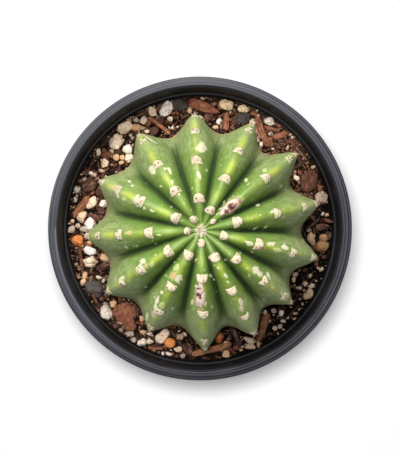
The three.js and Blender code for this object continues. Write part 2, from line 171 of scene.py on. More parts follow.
class Signal:
    """One shader socket that Python's operators add Math nodes to."""

    def __init__(self, shading: Shading, socket: bpy.types.NodeSocket) -> None:
        """Remembers the socket and the material it belongs to."""
        self.shading = shading
        self.socket = socket

    def _math(self, operation: str, first: Any, second: Any) -> Signal:
        """Adds one Math node."""
        return self.shading.value("ShaderNodeMath", {"operation": operation}, {0: first, 1: second})

    def __add__(self, other: Any) -> Signal:
        """Self plus other."""
        return self._math("ADD", self, other)

    def __radd__(self, other: Any) -> Signal:
        """Other plus self."""
        return self._math("ADD", other, self)

    def __sub__(self, other: Any) -> Signal:
        """Self less other."""
        return self._math("SUBTRACT", self, other)

    def __rsub__(self, other: Any) -> Signal:
        """Other less self."""
        return self._math("SUBTRACT", other, self)

    def __mul__(self, other: Any) -> Signal:
        """Self times other."""
        return self._math("MULTIPLY", self, other)

    def __rmul__(self, other: Any) -> Signal:
        """Other times self."""
        return self._math("MULTIPLY", other, self)

    def __pow__(self, other: Any) -> Signal:
        """Self to a power."""
        return self._math("POWER", self, other)

    def rise(self, low: float, high: float) -> Signal:
        """Rises smoothly from 0 where this is low to 1 where it is high."""
        settings = {"interpolation_type": "SMOOTHSTEP", "clamp": True}
        return self.shading.value("ShaderNodeMapRange", settings, {0: self, 1: low, 2: high, 3: 0.0, 4: 1.0})


class Shading:
    """The nodes of one material, all made by the method node."""

    def __init__(self, name: str) -> None:
        """Starts an empty material.

        Args:
            name: The material's name.
        """
        self.material = bpy.data.materials.new(name)
        self.material.use_nodes = True
        self.tree = self.material.node_tree
        self.tree.nodes.clear()
        self.place = self.value("ShaderNodeTexCoord", output="Object")
        self.axes = [self.value("ShaderNodeSeparateXYZ", None, {0: self.place}, axis) for axis in range(3)]

    def node(self, kind: str, settings: Mapping[str, Any] | None = None,
             sockets: Mapping[int | str, Any] | None = None) -> bpy.types.Node:
        """Adds a node, sets it up and fills its sockets.

        Args:
            kind: Blender's name for the type of node.
            settings: The node's own settings; "stops" holds a ramp's positions and colours.
            sockets: Values or links, by the name or the number of the input.

        Returns:
            The new node.
        """
        made = self.tree.nodes.new(kind)
        for name, setting in (settings or {}).items():
            if name == "stops":
                self._set_stops(made.color_ramp, setting)
            else:
                setattr(made, name, setting)
        for name, given in (sockets or {}).items():
            if isinstance(given, Signal):
                self.tree.links.new(given.socket, made.inputs[name])
            else:
                made.inputs[name].default_value = given
        return made

    @staticmethod
    def _set_stops(ramp: bpy.types.ColorRamp, stops: Sequence[tuple[float, Colour]]) -> None:
        """Gives a colour ramp its stops.

        Args:
            ramp: The ramp, which starts with two stops.
            stops: Positions from 0 to 1 and their colours, in rising order.
        """
        while len(ramp.elements) < len(stops):
            ramp.elements.new(0.5)
        for element, (position, colour) in zip(ramp.elements, stops):
            element.position, element.color = position, colour

    def value(self, kind: str, settings: Mapping[str, Any] | None = None,
              sockets: Mapping[int | str, Any] | None = None, output: int | str = 0) -> Signal:
        """Adds a node and returns one of its outputs as a signal."""
        return Signal(self, self.node(kind, settings, sockets).outputs[output])

    def paint(self, colour: Any, *coats: tuple[Any, Any]) -> Signal:
        """Lays coats of colour over one another.

        Args:
            colour: The colour underneath.
            coats: How far each coat covers what is under it, from 0 to 1, and its colour.

        Returns:
            The colour on top.
        """
        for share, coat in coats:
            colour = self.value("ShaderNodeMix", {"data_type": "RGBA"}, {0: share, 6: colour, 7: coat}, 2)
        return colour

    def point(self, *parts: Any) -> Signal:
        """A vector of three numbers, which a pattern can be read at."""
        return self.value("ShaderNodeCombineXYZ", None, dict(enumerate(parts)))

    def noise(self, scale_mm: float, detail: float = 3.0, roughness: float = 0.55,
              distortion: float = 0.0, at: Signal | None = None) -> Signal:
        """A cloudy pattern.

        Args:
            scale_mm: The size of its clouds, in millimetres.
            detail: How many finer patterns are laid over it.
            roughness: How strong each finer pattern is against the one before.
            distortion: How far the clouds are torn.
            at: Where it is read, if that isn't the place on the object.

        Returns:
            The pattern, from 0 to 1.
        """
        sockets = {"Vector": at or self.place, "Scale": 1 / (scale_mm * MM), "Detail": detail,
                   "Roughness": roughness, "Distortion": distortion}
        return self.value("ShaderNodeTexNoise", None, sockets)

    def cells(self, scale_mm: float, output: str = "Distance") -> Signal:
        """A pattern of cells, given their size in millimetres and which output is read."""
        sockets = {"Vector": self.place, "Scale": 1 / (scale_mm * MM)}
        return self.value("ShaderNodeTexVoronoi", None, sockets, output)

    def attribute(self, name: str) -> Signal:
        """A number that the mesh carries at each vertex."""
        return self.value("ShaderNodeAttribute", {"attribute_name": name}, output="Fac")

    def ramp(self, share: Signal, stops: Sequence[tuple[float, Colour]]) -> Signal:
        """A colour read off a ramp."""
        return self.value("ShaderNodeValToRGB", {"stops": stops}, {0: share})

    def bump(self, height: Signal, distance_mm: float, strength: float) -> Signal:
        """A normal bent by a height from 0 to 1 that stands for so many millimetres."""
        sockets = {"Height": height, "Distance": distance_mm * MM, "Strength": strength}
        return self.value("ShaderNodeBump", None, sockets)

    def surface(self, sockets: Mapping[int | str, Any]) -> bpy.types.Material:
        """Ends the material in one Principled shader.

        Args:
            sockets: What goes into the shader, by the name of its input.

        Returns:
            The finished material.
        """
        shader = self.value("ShaderNodeBsdfPrincipled", None, sockets)
        self.node("ShaderNodeOutputMaterial", None, {"Surface": shader})
        return self.material


# ---- finishes


@dataclass(frozen=True)
class SkinFinish:
    """The stem's waxy skin: green, paler along the crests, corky at its foot, with painted shade in and towards the
    clefts and round the areoles.
    """

    young: Colour = srgb(87, 120, 36)
    old: Colour = srgb(124, 138, 75)
    bloom: Colour = srgb(160, 168, 122)
    shade: Colour = srgb(80, 106, 46)
    crest: Colour = srgb(184, 194, 66)
    # cleft: painted shade, a dark band along the bottom of each crease
    cleft: Colour = srgb(16, 36, 4)
    # deep: painted shade on the flanks as they fall into the grooves
    deep: Colour = srgb(44, 78, 16)
    tender: Colour = srgb(124, 150, 68)
    margin: Colour = srgb(206, 178, 122)
    cork: Colour = srgb(134, 112, 80)
    speck: Colour = srgb(204, 214, 170)
    scab: Colour = srgb(170, 160, 140)
    scars: tuple[tuple[float, Colour], ...] = (
        (0.0, srgb(214, 210, 174)), (0.3, srgb(212, 192, 164)), (0.5, srgb(176, 146, 112)),
        (0.62, srgb(186, 156, 84)), (0.75, srgb(136, 96, 78)), (0.88, srgb(72, 46, 54)),
        (1.0, srgb(178, 192, 96)))
    cloud_mm: float = 7.0
    patch_mm: float = 3.0
    fine_mm: float = 0.9
    grain_mm: float = 0.35
    speck_mm: float = 2.3
    relief_mm: float = 0.09

    def material(self) -> bpy.types.Material:
        """Builds the material from the numbers that the stem's mesh carries.

        Returns:
            The finished material.
        """
        shading = Shading("waxy_skin")
        share, phase, crease_shade = (shading.attribute(name) for name in ("share", "phase", "crease_shade"))
        cloud = shading.noise(self.cloud_mm, 4.0)
        patches = shading.noise(self.patch_mm, 5.0, 0.65, 0.8)
        fine = shading.noise(self.fine_mm, 4.0, 0.65)
        grain = shading.noise(self.grain_mm, 3.0)
        strands = self._strands(shading)
        grown = share.rise(0.15, 0.6)
        streak = shading.attribute("streak") * (0.5 + cloud).rise(0.7, 1.15)
        # painted shade that darkens the flanks towards the grooves
        sunk = phase.rise(0.5, 1.0) * (1 - share.rise(0.45, 0.85)) * share.rise(0.04, 0.18)
        torn = share + 0.16 * (shading.noise(2.5, 5.0) - 0.5)
        above = 1 - (share + 0.7 * (shading.noise(6.0, 5.0, 0.7) - 0.5)).rise(1.02, 1.16)
        tip = torn.rise(0.84, 0.98) * above * (1 - (phase + 0.3 * (fine - 0.5)).rise(0.05, 0.26))
        corky = (share + 0.6 * (shading.noise(4.0, 5.0, 0.7) - 0.5)).rise(1.16, 1.42)
        specks = ((1 - shading.cells(self.speck_mm).rise(0.07, 0.14))
                  * shading.cells(self.speck_mm, "Color").rise(0.7, 0.72))
        # scar: the strength of every mark, the painted glints among the pale marks included
        scar = (shading.attribute("scar") + 0.8 * (fine - 0.5) + 0.5 * (grain - 0.5)).rise(0.3, 0.8)
        tone = shading.attribute("scar_tone")
        healed = shading.paint(shading.ramp(tone, self.scars),
                               (fine.rise(0.42, 0.6) * (1 - tone.rise(0.5, 0.7)) * 0.55, self.scab))
        colour = shading.paint(
            self.young,
            ((share + 0.3 * (cloud - 0.5)).rise(0.1, 0.8), self.old),
            (patches.rise(0.5, 0.7) * grown * 0.6, self.bloom),
            ((1 - patches.rise(0.34, 0.5)) * grown * 0.5, self.shade),
            (fine.rise(0.45, 0.7) * 0.25, self.bloom),
            (strands.rise(0.5, 0.68) * grown * 0.4, self.bloom),
            ((1 - strands.rise(0.34, 0.48)) * 0.3, self.shade),
            (share.rise(0.55, 0.95) * 0.25, self.bloom),
            (streak * 0.62, self.crest),
            ((1 - share.rise(0.05, 0.26)) * 0.5, self.tender),
            # painted shade down the flanks into the grooves
            (sunk * 0.55, self.deep),
            # painted shade along the bottom of each crease
            (crease_shade * 0.85, self.cleft),
            # painted shade round each areole
            (shading.attribute("areole_shade") * 0.45, self.shade),
            (torn.rise(0.985, 1.015) * above * 0.75, self.margin),
            (tip * 0.75, self.margin),
            (corky, self.cork),
            (specks * 0.7, self.speck),
            (shading.attribute("scar").rise(0.0, 0.6) * 0.4, self.speck),
            (scar * (0.9 - 0.45 * tone.rise(0.92, 0.98)), healed))
        bent = shading.bump(0.4 * grain + 0.3 * fine + 0.6 * patches + 0.9 * scar, self.relief_mm, 0.6)
        rough = (0.42 + 0.16 * share.rise(0.3, 1.0) + 0.2 * (fine - 0.5) + 0.35 * corky + 0.4 * crease_shade
                 + 0.15 * scar)
        return shading.surface({"Base Color": colour, "Roughness": rough, "Normal": bent,
                                "Subsurface Weight": 0.06, "Subsurface Radius": (0.6, 1.0, 0.3),
                                "Subsurface Scale": 0.0012, "Specular IOR Level": 0.45})

    @staticmethod
    def _strands(shading: Shading) -> Signal:
        """A pattern drawn out along the meridians, as the skin has grown."""
        across, along, _ = shading.axes
        out = (across * across + along * along + 1e-8) ** 0.5
        spot = shading.point(0.03 * across * out ** -1, 0.03 * along * out ** -1, 0.2 * out)
        return shading.noise(0.8, 3.0, 0.6, at=spot)


@dataclass(frozen=True)
class WoolFinish:
    """Cream felt of the areoles, blushed with pink and dotted with brown where it is thick."""

    pale: Colour = srgb(208, 196, 164)
    blush: Colour = srgb(194, 154, 128)
    old: Colour = srgb(172, 166, 138)
    dot: Colour = srgb(104, 62, 48)
    cloud_mm: float = 1.0
    dot_mm: float = 0.5
    strand_mm: float = 0.16
    relief_mm: float = 0.1

    def material(self) -> bpy.types.Material:
        """Builds the felt, which greys with the age that the mesh carries.

        Returns:
            The finished material.
        """
        shading = Shading("areole_felt")
        age = shading.attribute("age")
        dots = shading.noise(self.dot_mm, 3.0, 0.5).rise(0.6, 0.67) * (1 - 0.5 * age.rise(0.3, 0.7))
        colour = shading.paint(
            self.pale,
            (shading.noise(self.cloud_mm, 4.0, 0.6).rise(0.44, 0.66) * 0.8, self.blush),
            (age.rise(0.1, 0.8), self.old),
            (dots * 0.75, self.dot))
        strands = shading.noise(self.strand_mm, 4.0, 0.7, 1.5)
        return shading.surface({"Base Color": colour, "Roughness": 0.95,
                                "Normal": shading.bump(strands, self.relief_mm, 0.8),
                                "Sheen Weight": 0.15, "Sheen Roughness": 0.6})


@dataclass(frozen=True)
class NaturalFinish:
    """A dry natural surface whose own tone each piece picks from a row of colours.

    It is mottled, may be pitted, streaked along its grain or dotted with a glint, is darker up to a
    height with dirt and painted shade in the gaps, and has a painted shadow on one side of the pot.
    """

    name: str
    tones: tuple[Colour, ...]
    mottle: Colour
    mottling: float = 0.4
    cloud_mm: float = 2.0
    grain_mm: float = 0.4
    relief_mm: float = 0.15
    roughness: float = 0.85
    pits_mm: float = 0.0
    streaks: bool = False
    glint: Colour | None = None
    gloss: float = 0.15
    # colour of dirt and of painted shade: in the pits, low on each piece and in the painted shadow of the plant
    dirt_and_shade: Colour = srgb(25, 17, 12)
    dirt_and_shade_below_mm: tuple[float, float] = (78.4, 80.2)
    # where the painted shadow of the plant lies on the mix, and how dark it is
    plant_shadow_bearing: float = 335.0
    plant_shadow_mm: tuple[float, float] = (24.0, 50.0)
    plant_shadow_below_mm: tuple[float, float] = (84.0, 88.0)
    plant_shadow: float = 0.6

    def material(self) -> bpy.types.Material:
        """Builds the surface.

        Returns:
            The finished material.
        """
        shading = Shading(self.name)
        steps = max(len(self.tones) - 1, 1)
        stops = [(index / steps, tone) for index, tone in enumerate(self.tones)]
        cloud = shading.noise(self.cloud_mm, 4.0, 0.6)
        grain = shading.noise(self.grain_mm, 4.0, 0.65)
        relief = 0.6 * grain + 0.4 * cloud
        coats = [((0.6 * cloud + 0.4 * grain).rise(0.42, 0.66) * self.mottling, self.mottle)]
        if self.pits_mm:
            pits = 1 - shading.cells(self.pits_mm).rise(0.12, 0.4)
            coats.append((pits * 0.4, self.dirt_and_shade))
            relief = relief - 0.7 * pits
        if self.streaks:
            lines = shading.noise(0.5, 3.0, 0.6, 0.4, shading.point(
                0.00016 * shading.attribute("along"), 0.001 * shading.attribute("across"),
                0.02 * shading.attribute("tone")))
            coats.append((lines.rise(0.5, 0.62) * 0.6, self.mottle))
            relief = relief + 0.8 * lines
        if self.glint:
            coats.append(((1 - relief.rise(0.66, 0.9)) * 0.55, self.glint))
        across, along, height = (1000 * axis for axis in shading.axes)
        # darker up to a height: partly dirt, partly painted shade in the gaps between the pieces and the bed
        dirt_and_gap_shade = 1 - (height + 1.4 * (cloud - 0.5)).rise(*self.dirt_and_shade_below_mm)
        # painted shadow of the plant, which falls on the mix on one side of the pot
        turn = math.radians(self.plant_shadow_bearing)
        plant_shadow = (math.cos(turn) * across + math.sin(turn) * along).rise(*self.plant_shadow_mm)
        coats.append((dirt_and_gap_shade * 0.75, self.dirt_and_shade))
        coats.append((plant_shadow * (1 - height.rise(*self.plant_shadow_below_mm)) * self.plant_shadow, self.dirt_and_shade))
        colour = shading.paint(shading.ramp(shading.attribute("tone"), stops), *coats)
        return shading.surface({"Base Color": colour, "Roughness": self.roughness, "Specular IOR Level": self.gloss,
                                "Normal": shading.bump(relief, self.relief_mm, 0.9)})


@dataclass(frozen=True)
class PotFinish:
    """Black moulded polypropylene with a fine satin grain, dusted and a little scuffed."""

    black: Colour = srgb(37, 39, 45)
    worn: Colour = srgb(56, 57, 64)
    dust: Colour = srgb(88, 87, 92)
    # soil and painted shade on the collar, the ledge and the inner wall
    soil_and_shade: Colour = srgb(5, 6, 9)
    cloud_mm: float = 14.0
    scuff_mm: float = 1.2
    ring_mm: float = 0.7
    relief_mm: float = 0.06
    inner_mm: tuple[float, float] = (59.4, 59.9)

    def material(self) -> bpy.types.Material:
        """Builds the plastic, which is soiled and darkened by painted shade inside the pot, where the mix has lain
        against it.

        Returns:
            The finished material.
        """
        shading = Shading("moulded_black_plastic")
        cloud = shading.noise(self.cloud_mm, 4.0, 0.6)
        scuffs = shading.noise(self.scuff_mm, 5.0, 0.7)
        across, along, up = shading.axes
        height = 1000 * up
        radius = (1e6 * (across * across + along * along)) ** 0.5
        inside = (1 - radius.rise(*self.inner_mm)) * height.rise(20.0, 30.0)
        # partly soil, partly painted shade inside the pot
        soil_and_shade = inside * (1 - 0.25 * (height + 4 * (cloud - 0.5)).rise(80.0, 92.0))
        turn = shading.value("ShaderNodeMath", {"operation": "ARCTAN2"}, {0: along, 1: across})
        rings = shading.noise(self.ring_mm, 4.0, 0.7,
                              at=shading.point(0.001 * radius, 0.0001 * turn, 0.001 * height))
        colour = shading.paint(
            self.black,
            (cloud.rise(0.45, 0.75) * 0.4, self.worn),
            (scuffs.rise(0.6, 0.75) * 0.25, self.dust),
            (soil_and_shade * 0.92, self.soil_and_shade),
            (rings.rise(0.5, 0.62) * (1 - soil_and_shade) * 0.65, self.dust))
        rough = 0.46 + 0.16 * (cloud - 0.5) + 0.24 * (scuffs - 0.5) + 0.22 * soil_and_shade
        grain = 0.4 * shading.noise(0.3, 2.0, 0.5) + rings
        return shading.surface({"Base Color": colour, "Roughness": rough,
                                "Normal": shading.bump(grain, self.relief_mm, 0.5), "Specular IOR Level": 0.34})


class Slot(Enum):
    """The record's material slots."""

    POT = "pot"
    SOIL = "soil"
    CACTUS = "cactus"
    BARK = "bark"
    CHARCOAL = "charcoal"
    PUMICE = "pumice"
    CLAY = "clay"


STONE_TONES = (srgb(244, 234, 224), srgb(240, 220, 198), srgb(226, 198, 162), srgb(228, 174, 124),
               srgb(184, 172, 158), srgb(150, 126, 104))
WOOD_TONES = (
    srgb(34, 24, 20), srgb(70, 50, 41), srgb(124, 74, 52), srgb(160, 100, 68), srgb(198, 166, 126))


class Finishes:
    """Every finish of the part, each made once."""

    def __init__(self) -> None:
        """Makes the materials."""
        dark = srgb(36, 25, 19)
        self.skin = SkinFinish().material()
        self.wool = WoolFinish().material()
        self.pot = PotFinish().material()
        self.peat = NaturalFinish("damp_peat", (srgb(5, 4, 3), srgb(25, 18, 14), srgb(76, 55, 43),
                                                srgb(158, 124, 96)), dark, 0.5, 3.0, 0.5, 0.35, 0.92,
                                  gloss=0.05, dirt_and_shade=srgb(8, 6, 4), dirt_and_shade_below_mm=(70, 71)).material()
        self.bark = NaturalFinish("composted_bark", WOOD_TONES, srgb(74, 38, 28), 0.7, 2.6, 0.4, 0.25, 0.72,
                                  streaks=True, glint=srgb(206, 150, 124)).material()
        self.wood = NaturalFinish("broken_wood", WOOD_TONES, srgb(64, 42, 33), 0.5, 1.2, 0.3, 0.15, 0.8,
                                  streaks=True, glint=srgb(200, 156, 124)).material()
        self.charcoal = NaturalFinish("charcoal", (srgb(62, 56, 54), srgb(104, 96, 92)), srgb(44, 38, 36), 0.6,
                                      1.6, 0.4, 0.25, 0.8).material()
        self.pumice = NaturalFinish("pumice", STONE_TONES, srgb(178, 142, 118), 0.55, 1.1, 0.35, 0.35, 0.9,
                                    0.9, plant_shadow=0.4).material()
        self.clay = NaturalFinish("fired_clay", (srgb(226, 140, 72), srgb(178, 84, 42), srgb(104, 48, 26),
                                                 srgb(206, 160, 110)),
                                  srgb(236, 176, 112), 0.5, 1.8, 0.4, 0.2, 0.85, 0.7).material()
        self.scab = NaturalFinish("scab", (srgb(206, 200, 166), srgb(204, 192, 178), srgb(200, 168, 144),
                                           srgb(150, 112, 94), srgb(92, 62, 64), srgb(50, 30, 38)),
                                  srgb(146, 110, 98), 0.45, 0.7, 0.25, 0.15, 0.85, dirt_and_shade_below_mm=(70, 71)).material()
        self.thorn = NaturalFinish("thorn", (srgb(240, 230, 196), srgb(206, 182, 138)), srgb(170, 130, 90), 0.3,
                                   1.0, 0.3, 0.03, 0.5, gloss=0.4, dirt_and_shade_below_mm=(70, 71)).material()
        self.stub = NaturalFinish("thorn_stub", (srgb(74, 40, 34), srgb(128, 84, 66)), srgb(50, 26, 24), 0.4,
                                  0.6, 0.2, 0.03, 0.6, dirt_and_shade_below_mm=(70, 71)).material()


# ---- making meshes


class Workpiece:
    """A mesh being made in millimetres, which then becomes one piece of the part.

    Operators slow down in a large mesh, so a full one is set aside and a fresh one started.
    """

    room = 2500

    def __init__(self, name: str, *numbers: str) -> None:
        """Starts an empty mesh.

        Args:
            name: The name of the piece.
            numbers: The numbers that each of its vertices carries.
        """
        self.name = name
        self.numbers = numbers
        self.aside: list[bpy.types.Mesh] = []
        self.mesh = self._fresh()

    def _fresh(self) -> bmesh.types.BMesh:
        """Makes an empty mesh with its numbers."""
        mesh = bmesh.new()
        for name in self.numbers:
            mesh.verts.layers.float.new(name)
        return mesh

    def _make_room(self) -> None:
        """Sets a full mesh aside and starts a fresh one."""
        if len(self.mesh.verts) > self.room:
            data = bpy.data.meshes.new(self.name)
            self.mesh.to_mesh(data)
            self.mesh.free()
            self.aside.append(data)
            self.mesh = self._fresh()

    def mark(self, verts: Iterable[bmesh.types.BMVert], **numbers: float) -> None:
        """Gives vertices their numbers.

        Args:
            verts: The vertices.
            numbers: The numbers, by the names that the mesh was started with.
        """
        for name, value in numbers.items():
            layer = self.mesh.verts.layers.float[name]
            for vert in verts:
                vert[layer] = value

    def ball(self, steps: int) -> list[bmesh.types.BMVert]:
        """Adds a ball of radius 1 made of triangles."""
        self._make_room()
        return bmesh.ops.create_icosphere(self.mesh, subdivisions=steps, radius=1)["verts"]

    def pad(self, around: int, rings: int) -> list[bmesh.types.BMVert]:
        """Adds a ball of radius 1 with its poles up and down."""
        self._make_room()
        return bmesh.ops.create_uvsphere(self.mesh, u_segments=around, v_segments=rings, radius=1)["verts"]

    def thorn(self, foot: Vector, tip: Vector, radius: float, sides: int = 3) -> list[bmesh.types.BMVert]:
        """Adds a straight stalk that comes almost to a point.

        Args:
            foot: The middle of its thick end.
            tip: The middle of its thin end.
            radius: Half its thickness at the foot.
            sides: How many sides it has.

        Returns:
            Its vertices.
        """
        self._make_room()
        along = tip - foot
        place = Matrix.Translation((foot + tip) / 2) @ along.to_track_quat("Z", "Y").to_matrix().to_4x4()
        return bmesh.ops.create_cone(self.mesh, cap_ends=True, segments=sides, radius1=radius,
                                     radius2=0.15 * radius, depth=along.length, matrix=place)["verts"]

    def spin(self, path: Sequence[tuple[float, float]], steps: int, closed: bool = False) -> None:
        """Spins a half section round the Z axis.

        Args:
            path: The half section, as radius and height.
            steps: How many steps the full turn has.
            closed: Whether the last point is joined to the first.
        """
        verts = [self.mesh.verts.new((x, 0, z)) for x, z in path]
        ends = verts[1:] + verts[:1] if closed else verts[1:]
        edges = [self.mesh.edges.new(pair) for pair in zip(verts, ends)]
        bmesh.ops.spin(self.mesh, geom=verts + edges, cent=(0, 0, 0), axis=(0, 0, 1),
                       angle=math.tau, steps=steps, use_merge=True, use_duplicate=False)

    def finish(self, material: bpy.types.Material, slot: Slot,
               replaces: Iterable[str] = ()) -> bpy.types.Object:
        """Turns the mesh into a piece that rides on the part.

        Args:
            material: Its finish.
            slot: The record's slot for that finish; not used.
            replaces: The CAD nodes that it stands for.

        Returns:
            The finished object.
        """
        for data in self.aside:
            self.mesh.from_mesh(data)
            bpy.data.meshes.remove(data)
        bmesh.ops.scale(self.mesh, vec=(MM, MM, MM), verts=self.mesh.verts)
        bmesh.ops.recalc_face_normals(self.mesh, faces=self.mesh.faces)
        for face in self.mesh.faces:
            face.smooth = True
        made = to_object(self.name, self.mesh)
        made.data.materials.append(material)
        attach(made, BODY)
        if replaces:
            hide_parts(*replaces)
        LOG.info("%s: %d faces", self.name, len(made.data.polygons))
        return made


# ---- the camera's facts


@dataclass(frozen=True)
class PhotoFrame:
    """Where things lie in the photograph, in its pixels, and how that turns into millimetres."""

    width: int = 400
    height: int = 457
    centre: tuple[float, float] = (199.98, 228.5)
    rim_px: float = 152.35
    rim_mm: float = 63.5
    rim_z: float = 95.0
    distance: float = 650.0

    def mm_per_px(self, z: float) -> float:
        """Millimetres for one pixel in the plane at a height."""
        return self.rim_mm / self.rim_px * (self.distance - (z - self.rim_z)) / self.distance

    def plan(self, px: float, py: float, z: float) -> tuple[float, float]:
        """The point at a height that the photograph shows at a pixel."""
        scale = self.mm_per_px(z)
        return (px - self.centre[0]) * scale, (self.centre[1] - py) * scale

    def pixel(self, point: Vector) -> tuple[float, float]:
        """The pixel at which the photograph shows a point."""
        scale = self.mm_per_px(point.z)
        return self.centre[0] + point.x / scale, self.centre[1] - point.y / scale


# ---- marks on the skin


@dataclass(frozen=True)
class Mark:
    """A spot that the photograph shows: its place and size in pixels, its turn and its tone."""

    px: float
    py: float
    length: float
    width: float
    degrees: float = 0.0
    tone: float = 0.0

    def spot(self, along: float, across: float) -> tuple[float, float]:
        """Finds a pixel of the mark.

        Args:
            along: How far out along its length, as a share of half the length.
            across: How far out along its width, as a share of half the width.

        Returns:
            The pixel there.
        """
        turn = math.radians(self.degrees)
        right, up = along * self.length / 2, across * self.width / 2
        return (self.px + right * math.cos(turn) - up * math.sin(turn),
                self.py - right * math.sin(turn) - up * math.cos(turn))

    def away(self, px: float, py: float) -> float:
        """How far out a pixel lies.

        Args:
            px: The pixel's column.
            py: The pixel's row.

        Returns:
            0 in the middle and 1 on the outline, which narrows along its length.
        """
        turn = math.radians(self.degrees)
        right, up = px - self.px, self.py - py
        along = (right * math.cos(turn) + up * math.sin(turn)) / (self.length / 2)
        across = (up * math.cos(turn) - right * math.sin(turn)) / (self.width / 2 + 0.25)
        return math.hypot(along, across / max(1 - 0.3 * along, 0.5))


def marks(*rows: tuple[float, ...]) -> tuple[Mark, ...]:
    """Reads a table of marks, each row a mark's column, row, length, width, turn and tone."""
    return tuple(Mark(*row) for row in rows)


# Pale marks: partly real scars and scratches, partly painted glints of the lamps on the waxy skin
PALE_SCARS_AND_GLINTS = marks(
    (250, 243.5, 9, 4.5, -25), (271.9, 243.8, 8, 3, 12, 0.1), (277.5, 250, 8, 4, -10, 1.0),
    (285, 247.5, 8, 4, -28), (291.3, 254.4, 6, 5, 60, 0.5), (258, 272, 14, 5.5, -45),
    (268.8, 275.6, 8, 2, -68), (265, 283.8, 7, 5, -75, 0.4), (282.5, 295, 6, 1.6, -80),
    (285.3, 295.5, 6, 1.6, -80), (288.3, 295, 6, 1.6, -70), (272.5, 287.5, 3, 2, -70),
    (255.6, 228, 6, 1.6, 30), (266, 227, 5, 1.5, 30), (241, 302.5, 10, 3.4, -75),
    (241.5, 309, 6, 3, -75, 0.2), (126, 247, 5, 1.8, -30), (137, 246, 2.5, 1.6, 20),
    (143, 261, 6, 4, 60), (140.6, 271, 10, 7, -20, 0.15), (152, 264.5, 5, 4, 70, 1.0),
    (122.5, 278.8, 6, 3, 50), (179.4, 278.8, 9, 6.5, 60), (170, 286.9, 9, 5.5, -10, 0.4),
    (157.5, 300, 9, 2.6, 75), (155.6, 306, 10, 2.4, 85), (162, 305.6, 7, 6, 40, 1.0),
    (161.9, 292.5, 3, 3), (155.6, 313.9, 8, 5.5, 10, 0.4), (147.2, 316.1, 8, 1.8, 80),
    (172.2, 308.3, 3, 2, 70), (192.2, 301.7, 5, 1.8, 80), (205.6, 303.8, 5, 1.8, 80),
    (202, 148, 11, 9.5, -40, 0.1), (199.3, 175.3, 9, 3.4, -70), (152.3, 170.4, 9, 6.5, -60),
    (165, 169, 3.4, 2.4, -50), (169.8, 171, 7, 2.6, -60), (172.3, 181.7, 4, 2, -80),
    (160.4, 186.6, 2.6, 1.8), (138, 201.3, 12, 8, -70, 0.2), (117.5, 195, 8, 2.6, -65),
    (124, 199, 4, 3, 0, 1.0), (152, 211, 5, 2.2, -25), (144.2, 208.3, 3, 2, -40),
    (132, 185.9, 3, 2.2), (129.5, 181.3, 3, 2), (206.7, 170.4, 3, 1.4, -80),
    (115.8, 188, 7, 5.5, 60, 0.6), (268, 276, 3, 2, -60), (226, 276, 6, 3, -60), (273, 245, 3, 1.6),
    (218, 268, 3, 1.6, -60), (196, 286, 4, 1.5, 85), (211, 276, 4, 2.4, -60),
    (304, 240, 5, 2.4, 20, 1.0), (265, 170, 5, 3, 45, 1.0), (246, 180, 4, 2, 60),
    (281, 186, 5, 2, 30), (258, 205, 4, 1.8, 20), (272, 212, 5, 2, 10), (236, 292, 4, 1.6, -70),
)
BROWN_MARKS = marks(
    (194.7, 159.2, 7, 5, 0, 0.7), (173.5, 274.5, 11, 6, 65, 0.6), (176.5, 267.5, 9, 4.5, 60, 1.0),
    (128.8, 233, 6, 3.6, 10, 0.6), (145.6, 266.5, 5, 4.4, 0, 0.58), (262, 248.5, 6, 5, -20, 0.7),
    (241.9, 316.9, 6, 3.4, 10, 0.72), (201, 312, 9, 6, 90, 0.7), (230.6, 206.6, 26, 11, 217, 0.72),
    (199.8, 295.5, 26, 10, 90, 0.7), (180.6, 281.4, 2.6, 2, 0, 0.85),
    (141.5, 272.5, 2.4, 1.6, 0, 0.84), (126.6, 230.6, 2, 1.6, 0, 0.8),
)


@dataclass(frozen=True)
class Scab:
    """A thick scab over a wound: its outline and the spots on it that have a tone of their own."""

    outline: Mark
    spots: tuple[Mark, ...] = ()


SCABS = (
    Scab(Mark(230.4, 206.8, 25.5, 9.8, 217, 0.22), marks(
        (222, 213.4, 7, 6, 0, 0.05), (230, 202.6, 8, 4, 37, 0.04), (238, 203.6, 6, 6, 0, 0.42),
        (234.5, 209.4, 8, 2.4, 37, 0.3), (226.6, 211.6, 5.6, 4, 40, 0.84),
        (231.8, 206.2, 9, 7.4, 30, 1.0), (233, 205.2, 3.4, 2.4, 30, 0.6),
        (239.6, 200.8, 6, 2.2, -55, 0.66), (224.6, 214.8, 3, 1.4, 0, 0.8))),
    Scab(Mark(199.8, 295, 25.5, 9, 90, 0.17), marks(
        (199.8, 304, 8, 7, 0, 0.3), (198.6, 288.6, 6.4, 2, 5, 0.84),
        (198.2, 294.6, 6.4, 3.6, 0, 0.92), (199.8, 297.6, 4, 2.6, 0, 0.86),
        (202.6, 291.6, 3, 1.6, 70, 0.6))),
    Scab(Mark(212.8, 221.6, 6.4, 4.6, 217, 0.12)),
)


